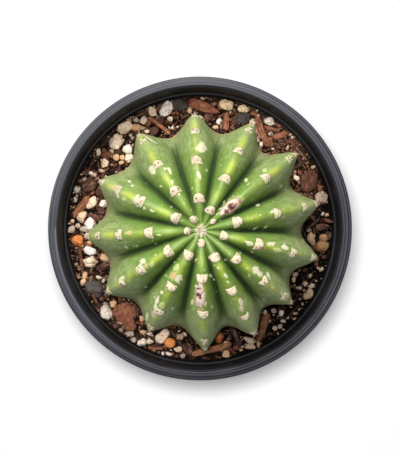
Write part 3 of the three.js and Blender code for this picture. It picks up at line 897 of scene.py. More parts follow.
@dataclass
class Blemishes:
    """Pale and brown scars and flecks, with painted glints among the pale marks, which the skin's mesh carries as a
    strength and a tone.
    """

    photo: PhotoFrame
    flecks: int = 60
    fleck_centre: tuple[float, float] = (201.0, 230.0)
    fleck_ring: tuple[float, float] = (20.0, 100.0)
    height: float = 0.04
    lowest_share: float = 1.04
    farthest: float = 1.8
    seed: int = 9

    def paint(self, mesh: bmesh.types.BMesh) -> None:
        """Marks the skin where the photograph shows a scar, a fleck or a painted glint.

        Args:
            mesh: The stem, in millimetres, whose vertices carry "scar", "scar_tone" and "share".
        """
        rng = random.Random(self.seed)
        share = mesh.verts.layers.float["share"]
        seen = sorted(((*self.photo.pixel(vert.co), vert) for vert in mesh.verts
                       if vert[share] < self.lowest_share), key=lambda spot: spot[:2])
        columns = [spot[0] for spot in seen]
        for mark in (*self._flecks(rng), *PALE_SCARS_AND_GLINTS, *BROWN_MARKS):
            reach = 0.9 * max(mark.length, mark.width) + 1
            near = seen[bisect_left(columns, mark.px - reach):bisect_left(columns, mark.px + reach)]
            self._mark(mesh, mark, near, rng.uniform(0, 50))

    def _flecks(self, rng: random.Random) -> list[Mark]:
        """Scatters small flecks that lie more or less along the ribs.

        Args:
            rng: Where the random draws come from.

        Returns:
            The flecks.
        """
        flecks = []
        for _ in range(self.flecks):
            turn, out = rng.uniform(0, math.tau), rng.uniform(*self.fleck_ring)
            length = 1.4 + 3.6 * rng.random() ** 2
            across, down = polar(turn, out)
            flecks.append(Mark(self.fleck_centre[0] + across, self.fleck_centre[1] + down, length,
                               rng.uniform(0.7, 1.3), -math.degrees(turn) + rng.uniform(-35, 35),
                               rng.choice((0.0, 0.3, 1.0, 1.0))))
        return flecks

    def _mark(self, mesh: bmesh.types.BMesh, mark: Mark,
              near: Sequence[tuple[float, float, bmesh.types.BMVert]], seed: float) -> None:
        """Paints one mark on the vertices near it and raises them a little.

        Args:
            mesh: The stem.
            mark: The mark.
            near: The pixel of each vertex that the mark may cover, and the vertex.
            seed: What makes its outline its own.
        """
        scar, tone = mesh.verts.layers.float["scar"], mesh.verts.layers.float["scar_tone"]
        for px, py, vert in near:
            away = mark.away(px, py)
            if away > self.farthest:
                continue
            ragged = (0.5 * noise.noise(Vector((px / 2.4, py / 2.4, seed)))
                      + 0.35 * noise.noise(Vector((px, py, seed))))
            strength = 1 - smoothstep(away + ragged * min(1.5 * away, 1), 0.6, 1.25)
            if strength > 0.4 or vert[scar] < 0.05:
                vert[tone] = mark.tone
            if strength > vert[scar]:
                vert.co += vert.normal * self.height * (strength - vert[scar])
                vert[scar] = strength


# ---- the stem


@dataclass(frozen=True)
class Rib:
    """One rib: its bearing, how much further it reaches and where its areoles were measured."""

    bearing: float
    out: float
    areoles: tuple[float, ...]


RIBS = (
    Rib(13.4, -0.3, (14.6, 31.6, 46.8)),
    Rib(40.0, 1.0, (12.6, 33.5, 50.3)),
    Rib(65.6, 0.1, (8.7, 22.7, 36.5)),
    Rib(94.5, 0.1, (12.8, 28.5, 43.3)),
    Rib(124.0, -0.4, (5.2, 19.1, 33.0, 50.3)),
    Rib(154.4, -0.6, (11.5, 27.7, 40.5, 55.1)),
    Rib(182.6, -0.2, (5.6, 21.2, 34.8, 47.6)),
    Rib(212.3, -1.0, (15.8, 29.7, 41.8)),
    Rib(241.4, -1.6, (11.3, 26.3, 40.1)),
    Rib(270.5, 0.3, (4.9, 19.1, 34.5, 50.3)),
    Rib(296.3, -0.5, (12.1, 27.4, 41.5)),
    Rib(320.6, -1.8, (18.2, 33.7, 49.3)),
    Rib(346.4, -0.4, (9.2, 23.5, 39.7)),
)


@dataclass(frozen=True)
class SkinPlace:
    """A place on the skin: the angle down the meridian, the rib, its flank and the phase on it."""

    angle: float
    rib: int
    side: int
    phase: float


@dataclass(frozen=True)
class Level:
    """What is the same all round the stem at one angle down the meridian."""

    radius: float
    z: float
    out: float
    up: float
    share: float
    depth: float
    old: float
    roll: float
    arc: float


@dataclass
class StemForm:
    """The shape of the stem: a flattened globe whose crests follow a rounded ellipse."""

    axis: tuple[float, float] = (0.55, -0.75)
    lean: tuple[float, float] = (1.0, -0.3)
    reach: float = 47.6
    widest_z: float = 101.0
    rise: float = 36.0
    drop: float = 40.0
    fullness: float = 0.87
    dimple: float = 4.0
    dimple_radius: float = 9.0
    groove_depth: Curve = (
        (0, 0), (0.1, 2.4), (0.25, 5.8), (0.45, 8.6), (0.7, 9.0), (1, 7.5), (1.25, 4), (1.45, 1),
        (1.6, 0))
    roll: Curve = ((0, 2.6), (0.12, 2.4), (0.3, 2.0), (0.6, 1.8), (1, 1.6))
    crest_rounding: float = 0.26
    old_rib: tuple[float, float] = (0.45, 0.95)
    chin: float = 1.0
    chin_length: float = 5.0
    chin_width: float = 2.6
    spacing: float = 15.0
    last_arc: float = 80.0
    pad_width: float = 3.5
    pad_length: float = 2.4
    pad_fade: float = 0.8
    arc_step: float = 0.004
    arc_steps: int = 700
    search_steps: int = 16
    arcs: list[float] = field(default_factory=list)
    levels: dict[float, Level] = field(default_factory=dict)
    rib_arcs: list[list[float]] = field(default_factory=list)

    def __post_init__(self) -> None:
        """Measures the crest line once and finds every areole."""
        run, at = 0.0, self.crest(0.0)
        self.arcs = [0.0]
        for index in range(1, self.arc_steps):
            ahead = self.crest(index * self.arc_step)
            run += math.dist(at, ahead)
            at = ahead
            self.arcs.append(run)
        for rib in RIBS:
            arcs = list(rib.areoles)
            while arcs[-1] + self.spacing < self.last_arc:
                arcs.append(arcs[-1] + self.spacing)
            self.rib_arcs.append(arcs)

    def crest(self, angle: float) -> tuple[float, float]:
        """Follows the crest line, which dips where the plant grows from.

        Args:
            angle: The angle down the meridian.

        Returns:
            The radius and the height there.
        """
        across = abs(math.sin(angle)) ** self.fullness
        up = math.copysign(abs(math.cos(angle)) ** self.fullness, math.cos(angle))
        radius = self.reach * across
        dimple = self.dimple * math.exp(-((radius / self.dimple_radius) ** 2)) * max(up, 0)
        return radius, self.widest_z + up * (self.rise if up > 0 else self.drop) - dimple

    def level(self, angle: float) -> Level:
        """Works out what is the same all round the stem, once for each level.

        Args:
            angle: The angle down the meridian.

        Returns:
            What is the same all round at that angle.
        """
        known = self.levels.get(angle)
        if known is None:
            step = 0.01
            r1, z1 = self.crest(angle + step)
            r0, z0 = self.crest(max(angle - step, step / 2))
            along = math.hypot(r1 - r0, z1 - z0)
            share = angle / (math.pi / 2)
            known = Level(*self.crest(angle), -(z1 - z0) / along, (r1 - r0) / along, share,
                          read_knots(self.groove_depth, share), smoothstep(share, *self.old_rib),
                          read_knots(self.roll, share), self.arc_at(angle))
            self.levels[angle] = known
        return known

    def angle_at(self, arc: float) -> float:
        """Turns a length of the crest line into an angle.

        Args:
            arc: The length from the growing point.

        Returns:
            The angle down the meridian.
        """
        index = bisect_left(self.arcs, max(arc, 1e-6))
        if index >= len(self.arcs):
            return self.arc_step * len(self.arcs)
        low, high = self.arcs[index - 1], self.arcs[index]
        return self.arc_step * (index - 1 + (arc - low) / (high - low))

    def arc_at(self, angle: float) -> float:
        """Turns an angle into a length of the crest line.

        Args:
            angle: The angle down the meridian.

        Returns:
            The length from the growing point.
        """
        place = min(max(angle / self.arc_step, 0.0), len(self.arcs) - 1.001)
        index = int(place)
        return lerp(self.arcs[index], self.arcs[index + 1], place - index)

    def rib_height(self, phase: float, level: Level) -> float:
        """The cross section of a rib: rolled near the crown and sharp further down.

        Args:
            phase: 0 on the crest and 1 in the cleft.
            level: The level on the stem.

        Returns:
            How high the rib stands, as a share of the groove's depth.
        """
        rounding = self.crest_rounding
        rounded = (math.hypot(phase, rounding) - rounding) / (math.hypot(1, rounding) - rounding)
        return lerp(1 - phase ** level.roll, 1 - math.sin(rounded * math.pi / 2), level.old)

    def lift(self, rib: int, level: Level, across: float) -> float:
        """The bulge of a crest just outside each areole.

        Args:
            rib: The rib's number.
            level: The level on the stem.
            across: How far from the crest, in millimetres.

        Returns:
            How far the skin bulges there.
        """
        beyond = -9.0
        for own in self.rib_arcs[rib]:
            if own < level.arc + 0.9:
                beyond = level.arc - own
        if beyond < -1:
            return 0.0
        chin = self.chin * smoothstep(beyond, -0.9, 0.9) * math.exp(-max(beyond, 0) / self.chin_length)
        return chin * math.exp(-((across / self.chin_width) ** 2))

    def pad(self, arc: float) -> tuple[float, float]:
        """Half the width and half the length of the areole that sits so far along a crest."""
        size = (1 - self.pad_fade * arc / self.last_arc) * (0.72 + 0.28 * smoothstep(arc, 4.0, 12.0))
        return self.pad_width * size, self.pad_length * size

    def half_angle(self, rib: int, side: int) -> float:
        """Half the angle from a rib to its neighbour, in degrees."""
        neighbour = RIBS[(rib + side) % len(RIBS)].bearing
        return (side * (neighbour - RIBS[rib].bearing)) % 360 / 2

    def point(self, place: SkinPlace) -> Vector:
        """Finds a point of the skin.

        Args:
            place: The place on the skin.

        Returns:
            The point, in millimetres.
        """
        level = self.level(place.angle)
        half = self.half_angle(place.rib, place.side)
        height = self.rib_height(place.phase, level)
        across = place.phase * math.radians(half) * level.radius
        sink = level.depth * (1 - height) - self.lift(place.rib, level, across) * min(level.share * 5, 1)
        further = RIBS[place.rib].out * (level.radius / self.reach) ** 2 * height
        r = max(level.radius - sink * level.out, 0.0) + further
        bearing = math.radians(RIBS[place.rib].bearing + place.side * half * place.phase)
        x, y = r * math.cos(bearing), r * math.sin(bearing)
        lean = (x * x + y * y) / (self.reach * self.reach)
        return Vector((self.axis[0] + x + self.lean[0] * lean, self.axis[1] + y + self.lean[1] * lean,
                       level.z - sink * level.up))

    def on_bearing(self, angle: float, degrees: float) -> SkinPlace:
        """Finds the rib and the phase on a bearing from the growing point.

        Args:
            angle: The angle down the meridian.
            degrees: The bearing.

        Returns:
            The place on the skin.
        """
        for rib in range(len(RIBS)):
            for side in (-1, 1):
                away = (side * (degrees - RIBS[rib].bearing)) % 360
                half = self.half_angle(rib, side)
                if away <= half + 1e-9:
                    return SkinPlace(angle, rib, side, min(away / half, 1.0))
        raise ValueError(f"no rib at {degrees}")

    def beside(self, rib: int, arc: float, across: float) -> SkinPlace:
        """Finds a place to one side of a crest.

        Args:
            rib: The rib's number.
            arc: How far down the crest line, in millimetres.
            across: How far to the side along the skin, in millimetres.

        Returns:
            The place on the skin.
        """
        angle = self.angle_at(arc)
        side = 1 if across >= 0 else -1
        width = max(math.radians(self.half_angle(rib, side)) * self.level(angle).radius, 0.5)
        phase = min(abs(across) / width, 1.0)
        if phase > 0.02:
            run = (self.point(SkinPlace(angle, rib, side, phase))
                   - self.point(SkinPlace(angle, rib, side, 0))).length
            phase = min(phase * abs(across) / run, 1.0)
        return SkinPlace(angle, rib, side, phase)

    def normal(self, place: SkinPlace) -> Vector:
        """Measures which way the skin faces.

        Args:
            place: The place on the skin.

        Returns:
            The outward normal there.
        """
        step, apart = 0.02, 0.06
        down = (self.point(replace(place, angle=place.angle + step))
                - self.point(replace(place, angle=max(place.angle - step, 0.001))))
        low, high = max(place.phase - apart, 0.0), min(place.phase + apart, 1.0)
        sideways = (self.point(replace(place, phase=high))
                    - self.point(replace(place, phase=low))) * place.side
        return down.cross(sideways).normalized()

    def on_skin(self, place: SkinPlace, up: float) -> Vector:
        """The point that lies so many millimetres off the skin."""
        return self.point(place) + self.normal(place) * up

    def under(self, x: float, y: float) -> SkinPlace:
        """Finds the place on the upper skin that the view from above shows at a point.

        Args:
            x: Where the point lies in the plan, in millimetres.
            y: The same, along the other axis.

        Returns:
            The place on the skin.
        """
        low, high = 0.001, math.pi / 2
        place = self.on_bearing(low, math.degrees(math.atan2(y - self.axis[1], x - self.axis[0])) % 360)
        wanted = math.hypot(x - self.axis[0], y - self.axis[1])
        for _ in range(self.search_steps):
            middle = (low + high) / 2
            at = self.point(replace(place, angle=middle))
            if math.hypot(at.x - self.axis[0], at.y - self.axis[1]) < wanted:
                low = middle
            else:
                high = middle
        return replace(place, angle=(low + high) / 2)


@dataclass
class Stem:
    """The green body of the plant, down to the root neck in the soil."""

    finishes: Finishes
    form: StemForm
    blemishes: Blemishes
    columns: int = 468
    rows: int = 200
    last_angle: float = 2.62
    bunching: float = 0.35
    crease_shade_mm: float = 1.1
    ripple: float = 0.14

    def build(self) -> None:
        """Spins a plain body and then moves its columns onto the ribs."""
        work = Workpiece("cactus_stem", "phase", "share", "streak", "crease_shade", "areole_shade", "scar", "scar_tone")
        work.spin([(1, -row) for row in range(self.rows + 1)], self.columns)
        layers = work.mesh.verts.layers.float
        for vert in work.mesh.verts:
            share = round(-vert.co.z) / self.rows
            angle = (self.last_angle * (self.bunching * share * share + (1 - self.bunching) * share)
                     + 0.003)
            place = self.form.on_bearing(angle, math.degrees(math.atan2(vert.co.y, vert.co.x)) % 360)
            level = self.form.level(angle)
            half = math.radians(self.form.half_angle(place.rib, place.side)) * level.radius
            vert[layers["phase"]], vert[layers["share"]] = place.phase, level.share
            vert[layers["streak"]] = self._streak(place, level, place.phase * half)
            # painted shade: how dark the thin band along the bottom of the groove is
            vert[layers["crease_shade"]] = (math.exp(-(((1 - place.phase) * half / self.crease_shade_mm) ** 2))
                                      * smoothstep(level.share, 0.0, 0.15)
                                      * (1 - smoothstep(level.share, 0.5, 0.9)))
            # painted shade round the areoles
            vert[layers["areole_shade"]] = self._areole_shade(place, level, place.phase * half)
            vert.co = self.form.point(place)
        work.mesh.normal_update()
        for vert in work.mesh.verts:
            ease = min(5 * vert[layers["share"]], 1)
            vert.co += (vert.normal * self.ripple * ease
                        * (lumps(vert.co, 5.0) + 0.35 * lumps(vert.co, 1.8, 4)))
        work.mesh.normal_update()
        self.blemishes.paint(work.mesh)
        rims = [edge for edge in work.mesh.edges if edge.is_boundary]
        bmesh.ops.holes_fill(work.mesh, edges=rims, sides=0)
        work.finish(self.finishes.skin, Slot.CACTUS, ["cactus"])

    def _areole_shade(self, place: SkinPlace, level: Level, across: float) -> float:
        """How much painted shade darkens the skin bordering an areole.

        Args:
            place: The place on the skin.
            level: The level on the stem.
            across: How far from the crest, in millimetres.

        Returns:
            The painted shade, 1 right at the edge of an areole.
        """
        away = 9.0
        for own in self.form.rib_arcs[place.rib]:
            width, length = self.form.pad(own)
            away = min(away, math.hypot((level.arc - own) / (length + 0.3), across / (width + 0.3)))
        return math.exp(-(((away - 1) / 0.25) ** 2))

    def _streak(self, place: SkinPlace, level: Level, across: float) -> float:
        """How strongly a crest's pale streak shows so far from it, most of all beyond an areole."""
        beyond = min(abs(level.arc - own - 4.0) for own in self.form.rib_arcs[place.rib])
        return ((1 - 0.75 * smoothstep(beyond, 2.0, 7.0)) * smoothstep(level.arc, 7.0, 16.0)
                * (1 - 0.75 * smoothstep(level.share, 0.7, 1.1)) * math.exp(-((across / 1.5) ** 2)))


# ---- areoles


@dataclass(frozen=True)
class Areole:
    """One areole: its rib, how far down the crest it sits, half its size each way, height and age."""

    rib: int
    arc: float
    width: float
    length: float
    height: float
    age: float


@dataclass
class Areoles:
    """The woolly pads on the crests with their spine stubs, hairs and short spines.

    A lost areole, given by its rib and its number on it, has healed to a scar on the skin. The
    outline is the reach of a pad from the side that faces the growing point to the far side.
    """

    finishes: Finishes
    form: StemForm
    height: float = 0.62
    around: int = 32
    rings: int = 8
    fullness: float = 0.7
    hairs_each: int = 30
    hair_radius: float = 0.05
    stub_radius: tuple[float, float] = (0.24, 0.36)
    spines_each: int = 5
    spiny_from: float = 50.0
    spine_length: tuple[float, float] = (1.2, 2.4)
    spine_radius: float = 0.15
    tufts: int = 8
    tuft_hairs: int = 16
    seed: int = 5
    lost: tuple[tuple[int, int], ...] = ((1, 0),)
    straw: Curve = ((-23.4, 37.0), (-17.5, 33.1))
    straw_radius: float = 0.26
    outline: Curve = (
        (0.0, 0.76), (0.12, 0.81), (0.22, 0.98), (0.29, 1.24), (0.36, 1.06), (0.5, 0.93), (0.75, 0.95),
        (1.0, 1.05))

    def __post_init__(self) -> None:
        """Seeds the random draws and starts the four meshes."""
        self.rng = random.Random(self.seed)
        self.pads, self.stubs = Workpiece("areole_wool", "age"), Workpiece("spine_stubs", "tone")
        self.hairs, self.spines = Workpiece("areole_hairs", "age"), Workpiece("spines", "tone")

    def build(self) -> None:
        """Makes the areoles of every rib and the wool of the growing point."""
        for rib, arcs in enumerate(self.form.rib_arcs):
            for index, arc in enumerate(arcs):
                if (rib, index) not in self.lost:
                    areole = self._pad(rib, arc)
                    self._stubs(areole)
                    self._hairs(areole)
                    if arc > self.spiny_from:
                        self._spines(areole)
        self._crown()
        ends = [self.form.on_skin(self.form.under(*spot), 0.5) for spot in self.straw]
        self.spines.mark(self.spines.thorn(*ends, self.straw_radius, 6), tone=0.3)
        for work, finish in ((self.pads, self.finishes.wool), (self.stubs, self.finishes.stub),
                             (self.hairs, self.finishes.wool), (self.spines, self.finishes.thorn)):
            work.finish(finish, Slot.CACTUS)

    def _pad(self, rib: int, arc: float) -> Areole:
        """Makes one cushion of felt that follows the skin.

        Args:
            rib: The rib's number.
            arc: How far down the crest it sits, in millimetres.

        Returns:
            The areole.
        """
        rng, age = self.rng, arc / self.form.last_arc
        width, length = self.form.pad(arc)
        areole = Areole(rib, arc, width * rng.uniform(0.9, 1.08), length * rng.uniform(0.88, 1.1),
                        self.height * (1 - 0.6 * age), age)
        skew, seed = rng.uniform(-0.3, 0.3), rng.uniform(0, 50)
        verts = self.pads.pad(self.around, self.rings)
        self.pads.mark(verts, age=age)
        for vert in verts:
            turn = math.atan2(vert.co.y, vert.co.x)
            out = math.hypot(vert.co.x, vert.co.y) ** self.fullness * self._reach(turn, seed, age)
            right, down = polar(turn, out)
            across = right * areole.width + skew * down * areole.length
            place = self.form.beside(rib, arc + down * areole.length, across)
            uneven = 0.12 * lumps(self.form.point(place), 0.7, seed) * (vert.co.z > 0)
            vert.co = self.form.on_skin(place, areole.height * max(vert.co.z, -0.3) + uneven)
        return areole

    def _reach(self, turn: float, seed: float, age: float) -> float:
        """How far a pad reaches, with two sharp shoulders towards the growing point, ragged with age."""
        share = abs(((turn + math.pi / 2) / math.pi + 1) % 2 - 1)
        return read_knots(self.outline, share) + (0.06 + 0.45 * age) * ring_noise(turn, 2.2, seed)

    def _stubs(self, areole: Areole) -> None:
        """Makes the stubs of spines that stick out of the felt.

        Args:
            areole: The areole.
        """
        rng = self.rng
        for _ in range(rng.randint(4, 6)):
            across, along = rng.uniform(-0.5, 0.5) * areole.width, rng.uniform(-0.3, 0.5) * areole.length
            place = self.form.beside(areole.rib, areole.arc + along, across)
            tip = self.form.on_skin(place, areole.height + 0.4) + jitter(rng, 0.15)
            stub = self.stubs.thorn(self.form.point(place), tip, rng.uniform(*self.stub_radius), 6)
            self.stubs.mark(stub, tone=0.4 * rng.random())

    def _hairs(self, areole: Areole) -> None:
        """Makes the fine hairs round the felt.

        Args:
            areole: The areole.
        """
        rng = self.rng
        for _ in range(self.hairs_each):
            turn, reach = rng.uniform(0, math.tau), rng.uniform(0.6, 1.05)
            right, down = polar(turn, reach)
            place = self.form.beside(areole.rib, areole.arc + down * areole.length, right * areole.width)
            foot = self.form.point(place)
            way = (self.form.normal(place) * 0.7 + jitter(rng, 1)).normalized()
            hair = self.hairs.thorn(foot, foot + way * rng.uniform(0.5, 0.95), self.hair_radius)
            self.hairs.mark(hair, age=areole.age)

    def _spines(self, areole: Areole) -> None:
        """Makes the ring of short spines that lean outwards.

        Args:
            areole: The areole.
        """
        rng, place = self.rng, self.form.beside(areole.rib, areole.arc, 0.0)
        foot, normal = self.form.point(place), self.form.normal(place)
        down = (self.form.point(self.form.beside(areole.rib, areole.arc + 1, 0.0)) - foot).normalized()
        side = down.cross(normal)
        for index in range(self.spines_each):
            turn = math.tau * (index + rng.uniform(-0.3, 0.3)) / self.spines_each
            way = (normal * 0.75 + (down * math.cos(turn) + side * math.sin(turn)) * 0.8).normalized()
            tip = foot + way * rng.uniform(*self.spine_length)
            self.spines.mark(self.spines.thorn(foot, tip, self.spine_radius, 6), tone=rng.random())

    def _crown(self) -> None:
        """Makes the tufts of wool that crowd round the growing point, and one on it."""
        rng, top = self.rng, self.form.crest(0.001)[1]
        for index in range(self.tufts + 1):
            turn = math.tau * index / self.tufts
            x, y = polar(turn, 0.0 if index == self.tufts else rng.uniform(1.1, 2.7))
            centre = Vector((self.form.axis[0] + x, self.form.axis[1] + y, top + rng.uniform(-0.3, 0.1)))
            size = rng.uniform(0.75, 1.15)
            spread = Matrix.Rotation(turn, 3, "Z")
            verts = self.pads.ball(3)
            self.pads.mark(verts, age=0.9 if index % 2 else 0.5)
            for vert in verts:
                swell = 1 + 0.45 * lumps(vert.co, 0.6, index)
                flat = Vector((1.5 * vert.co.x, 0.75 * vert.co.y, 0.5 * vert.co.z))
                vert.co = centre + spread @ flat * size * swell
            tip = centre + Vector((0, 0, 0.55 * size + 0.2))
            self.stubs.mark(self.stubs.thorn(centre, tip, 0.28, 6), tone=rng.random())
            for _ in range(self.tuft_hairs):
                way = any_way(rng)
                way.z = abs(way.z)
                hair = self.hairs.thorn(centre + way * size * 0.6, centre + way * size * 1.25,
                                        self.hair_radius)
                self.hairs.mark(hair, age=0.3)


@dataclass
class Scabs:
    """The thick scabs, each a ragged pad of its own that is sunk where it is pitted."""

    finishes: Finishes
    photo: PhotoFrame
    form: StemForm
    height: float = 0.5
    around: int = 56
    rings: int = 20
    fullness: float = 0.7
    crown_z: float = 128.0

    def build(self) -> None:
        """Lays every scab on the skin where the photograph shows it."""
        work = Workpiece("healed_scabs", "tone")
        for number, scab in enumerate(SCABS):
            for vert in work.pad(self.around, self.rings):
                turn, seed = math.atan2(vert.co.y, vert.co.x), 7.0 * number
                ragged = 1 + 0.24 * ring_noise(turn, 2.6, seed)
                along, across = polar(turn, math.hypot(vert.co.x, vert.co.y) ** self.fullness * ragged)
                px, py = scab.outline.spot(along, across * (1 - 0.25 * along))
                tone, dip = self._tone(scab, px, py, seed)
                up = (self.height * max(vert.co.z, -0.4) * (1 - 0.9 * dip)
                      + 0.2 * lumps(Vector((px, py, 0)), 1.6, seed))
                vert.co = self.form.on_skin(self._place(px, py), up)
                work.mark([vert], tone=tone)
        work.finish(self.finishes.scab, Slot.CACTUS)

    @staticmethod
    def _tone(scab: Scab, px: float, py: float, seed: float) -> tuple[float, float]:
        """Reads a scab at a pixel.

        Args:
            scab: The scab.
            px: The pixel's column.
            py: The pixel's row.
            seed: What makes the edges of its spots their own.

        Returns:
            Its tone there, and how deep it is pitted, from 0 to 1.
        """
        tone, dip = scab.outline.tone, 0.0
        for spot in scab.spots:
            ragged = 0.3 * noise.noise(Vector((px / 1.6, py / 1.6, seed)))
            strength = 1 - smoothstep(spot.away(px, py) + ragged, 0.6, 1.1)
            tone = lerp(tone, spot.tone, strength)
            dip = max(dip, strength * smoothstep(spot.tone, 0.5, 0.8))
        return tone, dip

    def _place(self, px: float, py: float) -> SkinPlace:
        """The place on the skin that the photograph shows at a pixel."""
        place = self.form.under(*self.photo.plan(px, py, self.crown_z))
        return self.form.under(*self.photo.plan(px, py, self.form.point(place).z))


# ---- the studio


@dataclass(frozen=True)
class Softbox:
    """A round lamp that points at the plant: where it hangs, how wide it is and its watts."""

    name: str
    bearing: float
    elevation: float
    distance: float
    width: float
    power: float


@dataclass
class Studio:
    """The white light table, the soft light and the camera straight above.

    The overhead lamp lights everything, the table lamp only the table, and the panels all but the table.
    """

    photo: PhotoFrame
    overhead: Softbox = Softbox("overhead", 113.0, 86.7, 0.665, 0.075, 2.85)
    table: Softbox = Softbox("table_light", 113.0, 86.7, 0.665, 0.075, 1.05)
    panels: tuple[Softbox, ...] = (Softbox("key_softbox", 92.0, 46.0, 1.1, 0.4, 12.4),
                                   Softbox("side_panel", 150.0, 46.0, 1.1, 0.4, 7.2))
    aim: tuple[float, float, float] = (0.0, 0.0, 0.1)
    sky: Colour = (0.96, 0.98, 1, 1)
    sky_strength: float = 0.1
    white: tuple[Colour, Colour] = (srgb(253, 253, 253), srgb(248, 248, 248))
    glow: float = 0.3
    sensor: float = 36.0

    def build(self) -> None:
        """Makes the stage."""
        floor = self._floor()
        self._camera()
        self._light(self.overhead)
        self._light(self.table, self._group("lit_table", floor, "INCLUDE"))
        flagged = self._group("flagged_from_panels", floor, "EXCLUDE")
        for panel in self.panels:
            self._light(panel, flagged)
        world = bpy.data.worlds.new("studio")
        world.use_nodes = True
        background = world.node_tree.nodes["Background"]
        background.inputs["Color"].default_value = self.sky
        background.inputs["Strength"].default_value = self.sky_strength
        bpy.context.scene.world = world
        bpy.context.scene.view_settings.view_transform = "Standard"

    @staticmethod
    def _group(name: str, member: bpy.types.Object, state: str) -> bpy.types.Collection:
        """Makes the group of objects that a lamp lights alone or leaves out.

        Args:
            name: The group's name.
            member: The object in it.
            state: INCLUDE or EXCLUDE.

        Returns:
            The group.
        """
        group = bpy.data.collections.new(name)
        group.objects.link(member)
        group.collection_objects[0].light_linking.link_state = state
        return group

    def _floor(self) -> bpy.types.Object:
        """Makes a wide white light table that glows a little of itself.

        Returns:
            The table.
        """
        mesh = bmesh.new()
        bmesh.ops.create_grid(mesh, x_segments=1, y_segments=1, size=4.0)
        floor = to_object("floor", mesh)
        shading = Shading("white_light_table")
        colour = shading.paint(self.white[0], (shading.noise(40.0, 2.0) * 0.1, self.white[1]))
        floor.data.materials.append(shading.surface({
            "Base Color": colour, "Roughness": 0.9, "Emission Color": (1, 1, 1, 1), "Emission Strength": self.glow}))
        return floor

    def _camera(self) -> None:
        """Hangs the camera over the pot so that the rim lies where the photograph shows it."""
        photo = self.photo
        mm_per_px = photo.mm_per_px(photo.rim_z)
        data = bpy.data.cameras.new("camera")
        data.sensor_width = self.sensor
        data.lens = self.sensor * photo.distance / (photo.height * mm_per_px)
        data.clip_start, data.clip_end = 0.01, 20.0
        camera = hang("camera", data)
        x = (photo.width / 2 - photo.centre[0]) * mm_per_px
        y = (photo.centre[1] - photo.height / 2) * mm_per_px
        camera.location = (x * MM, y * MM, (photo.rim_z + photo.distance) * MM)
        bpy.context.scene.camera = camera

    def _light(self, box: Softbox, lit: bpy.types.Collection | None = None) -> None:
        """Hangs a softbox.

        Args:
            box: Its place and power.
            lit: The group that says what it lights, if that isn't everything.
        """
        data = bpy.data.lights.new(box.name, "AREA")
        data.shape, data.size, data.energy = "DISK", box.width, box.power
        light = hang(box.name, data)
        up, aim = math.radians(box.elevation), Vector(self.aim)
        light.location = aim + box.distance * Vector(
            (*polar(math.radians(box.bearing), math.cos(up)), math.sin(up)))
        light.rotation_euler = (aim - light.location).to_track_quat("-Z", "Y").to_euler()
        light.light_linking.receiver_collection = lit


# ---- the pot


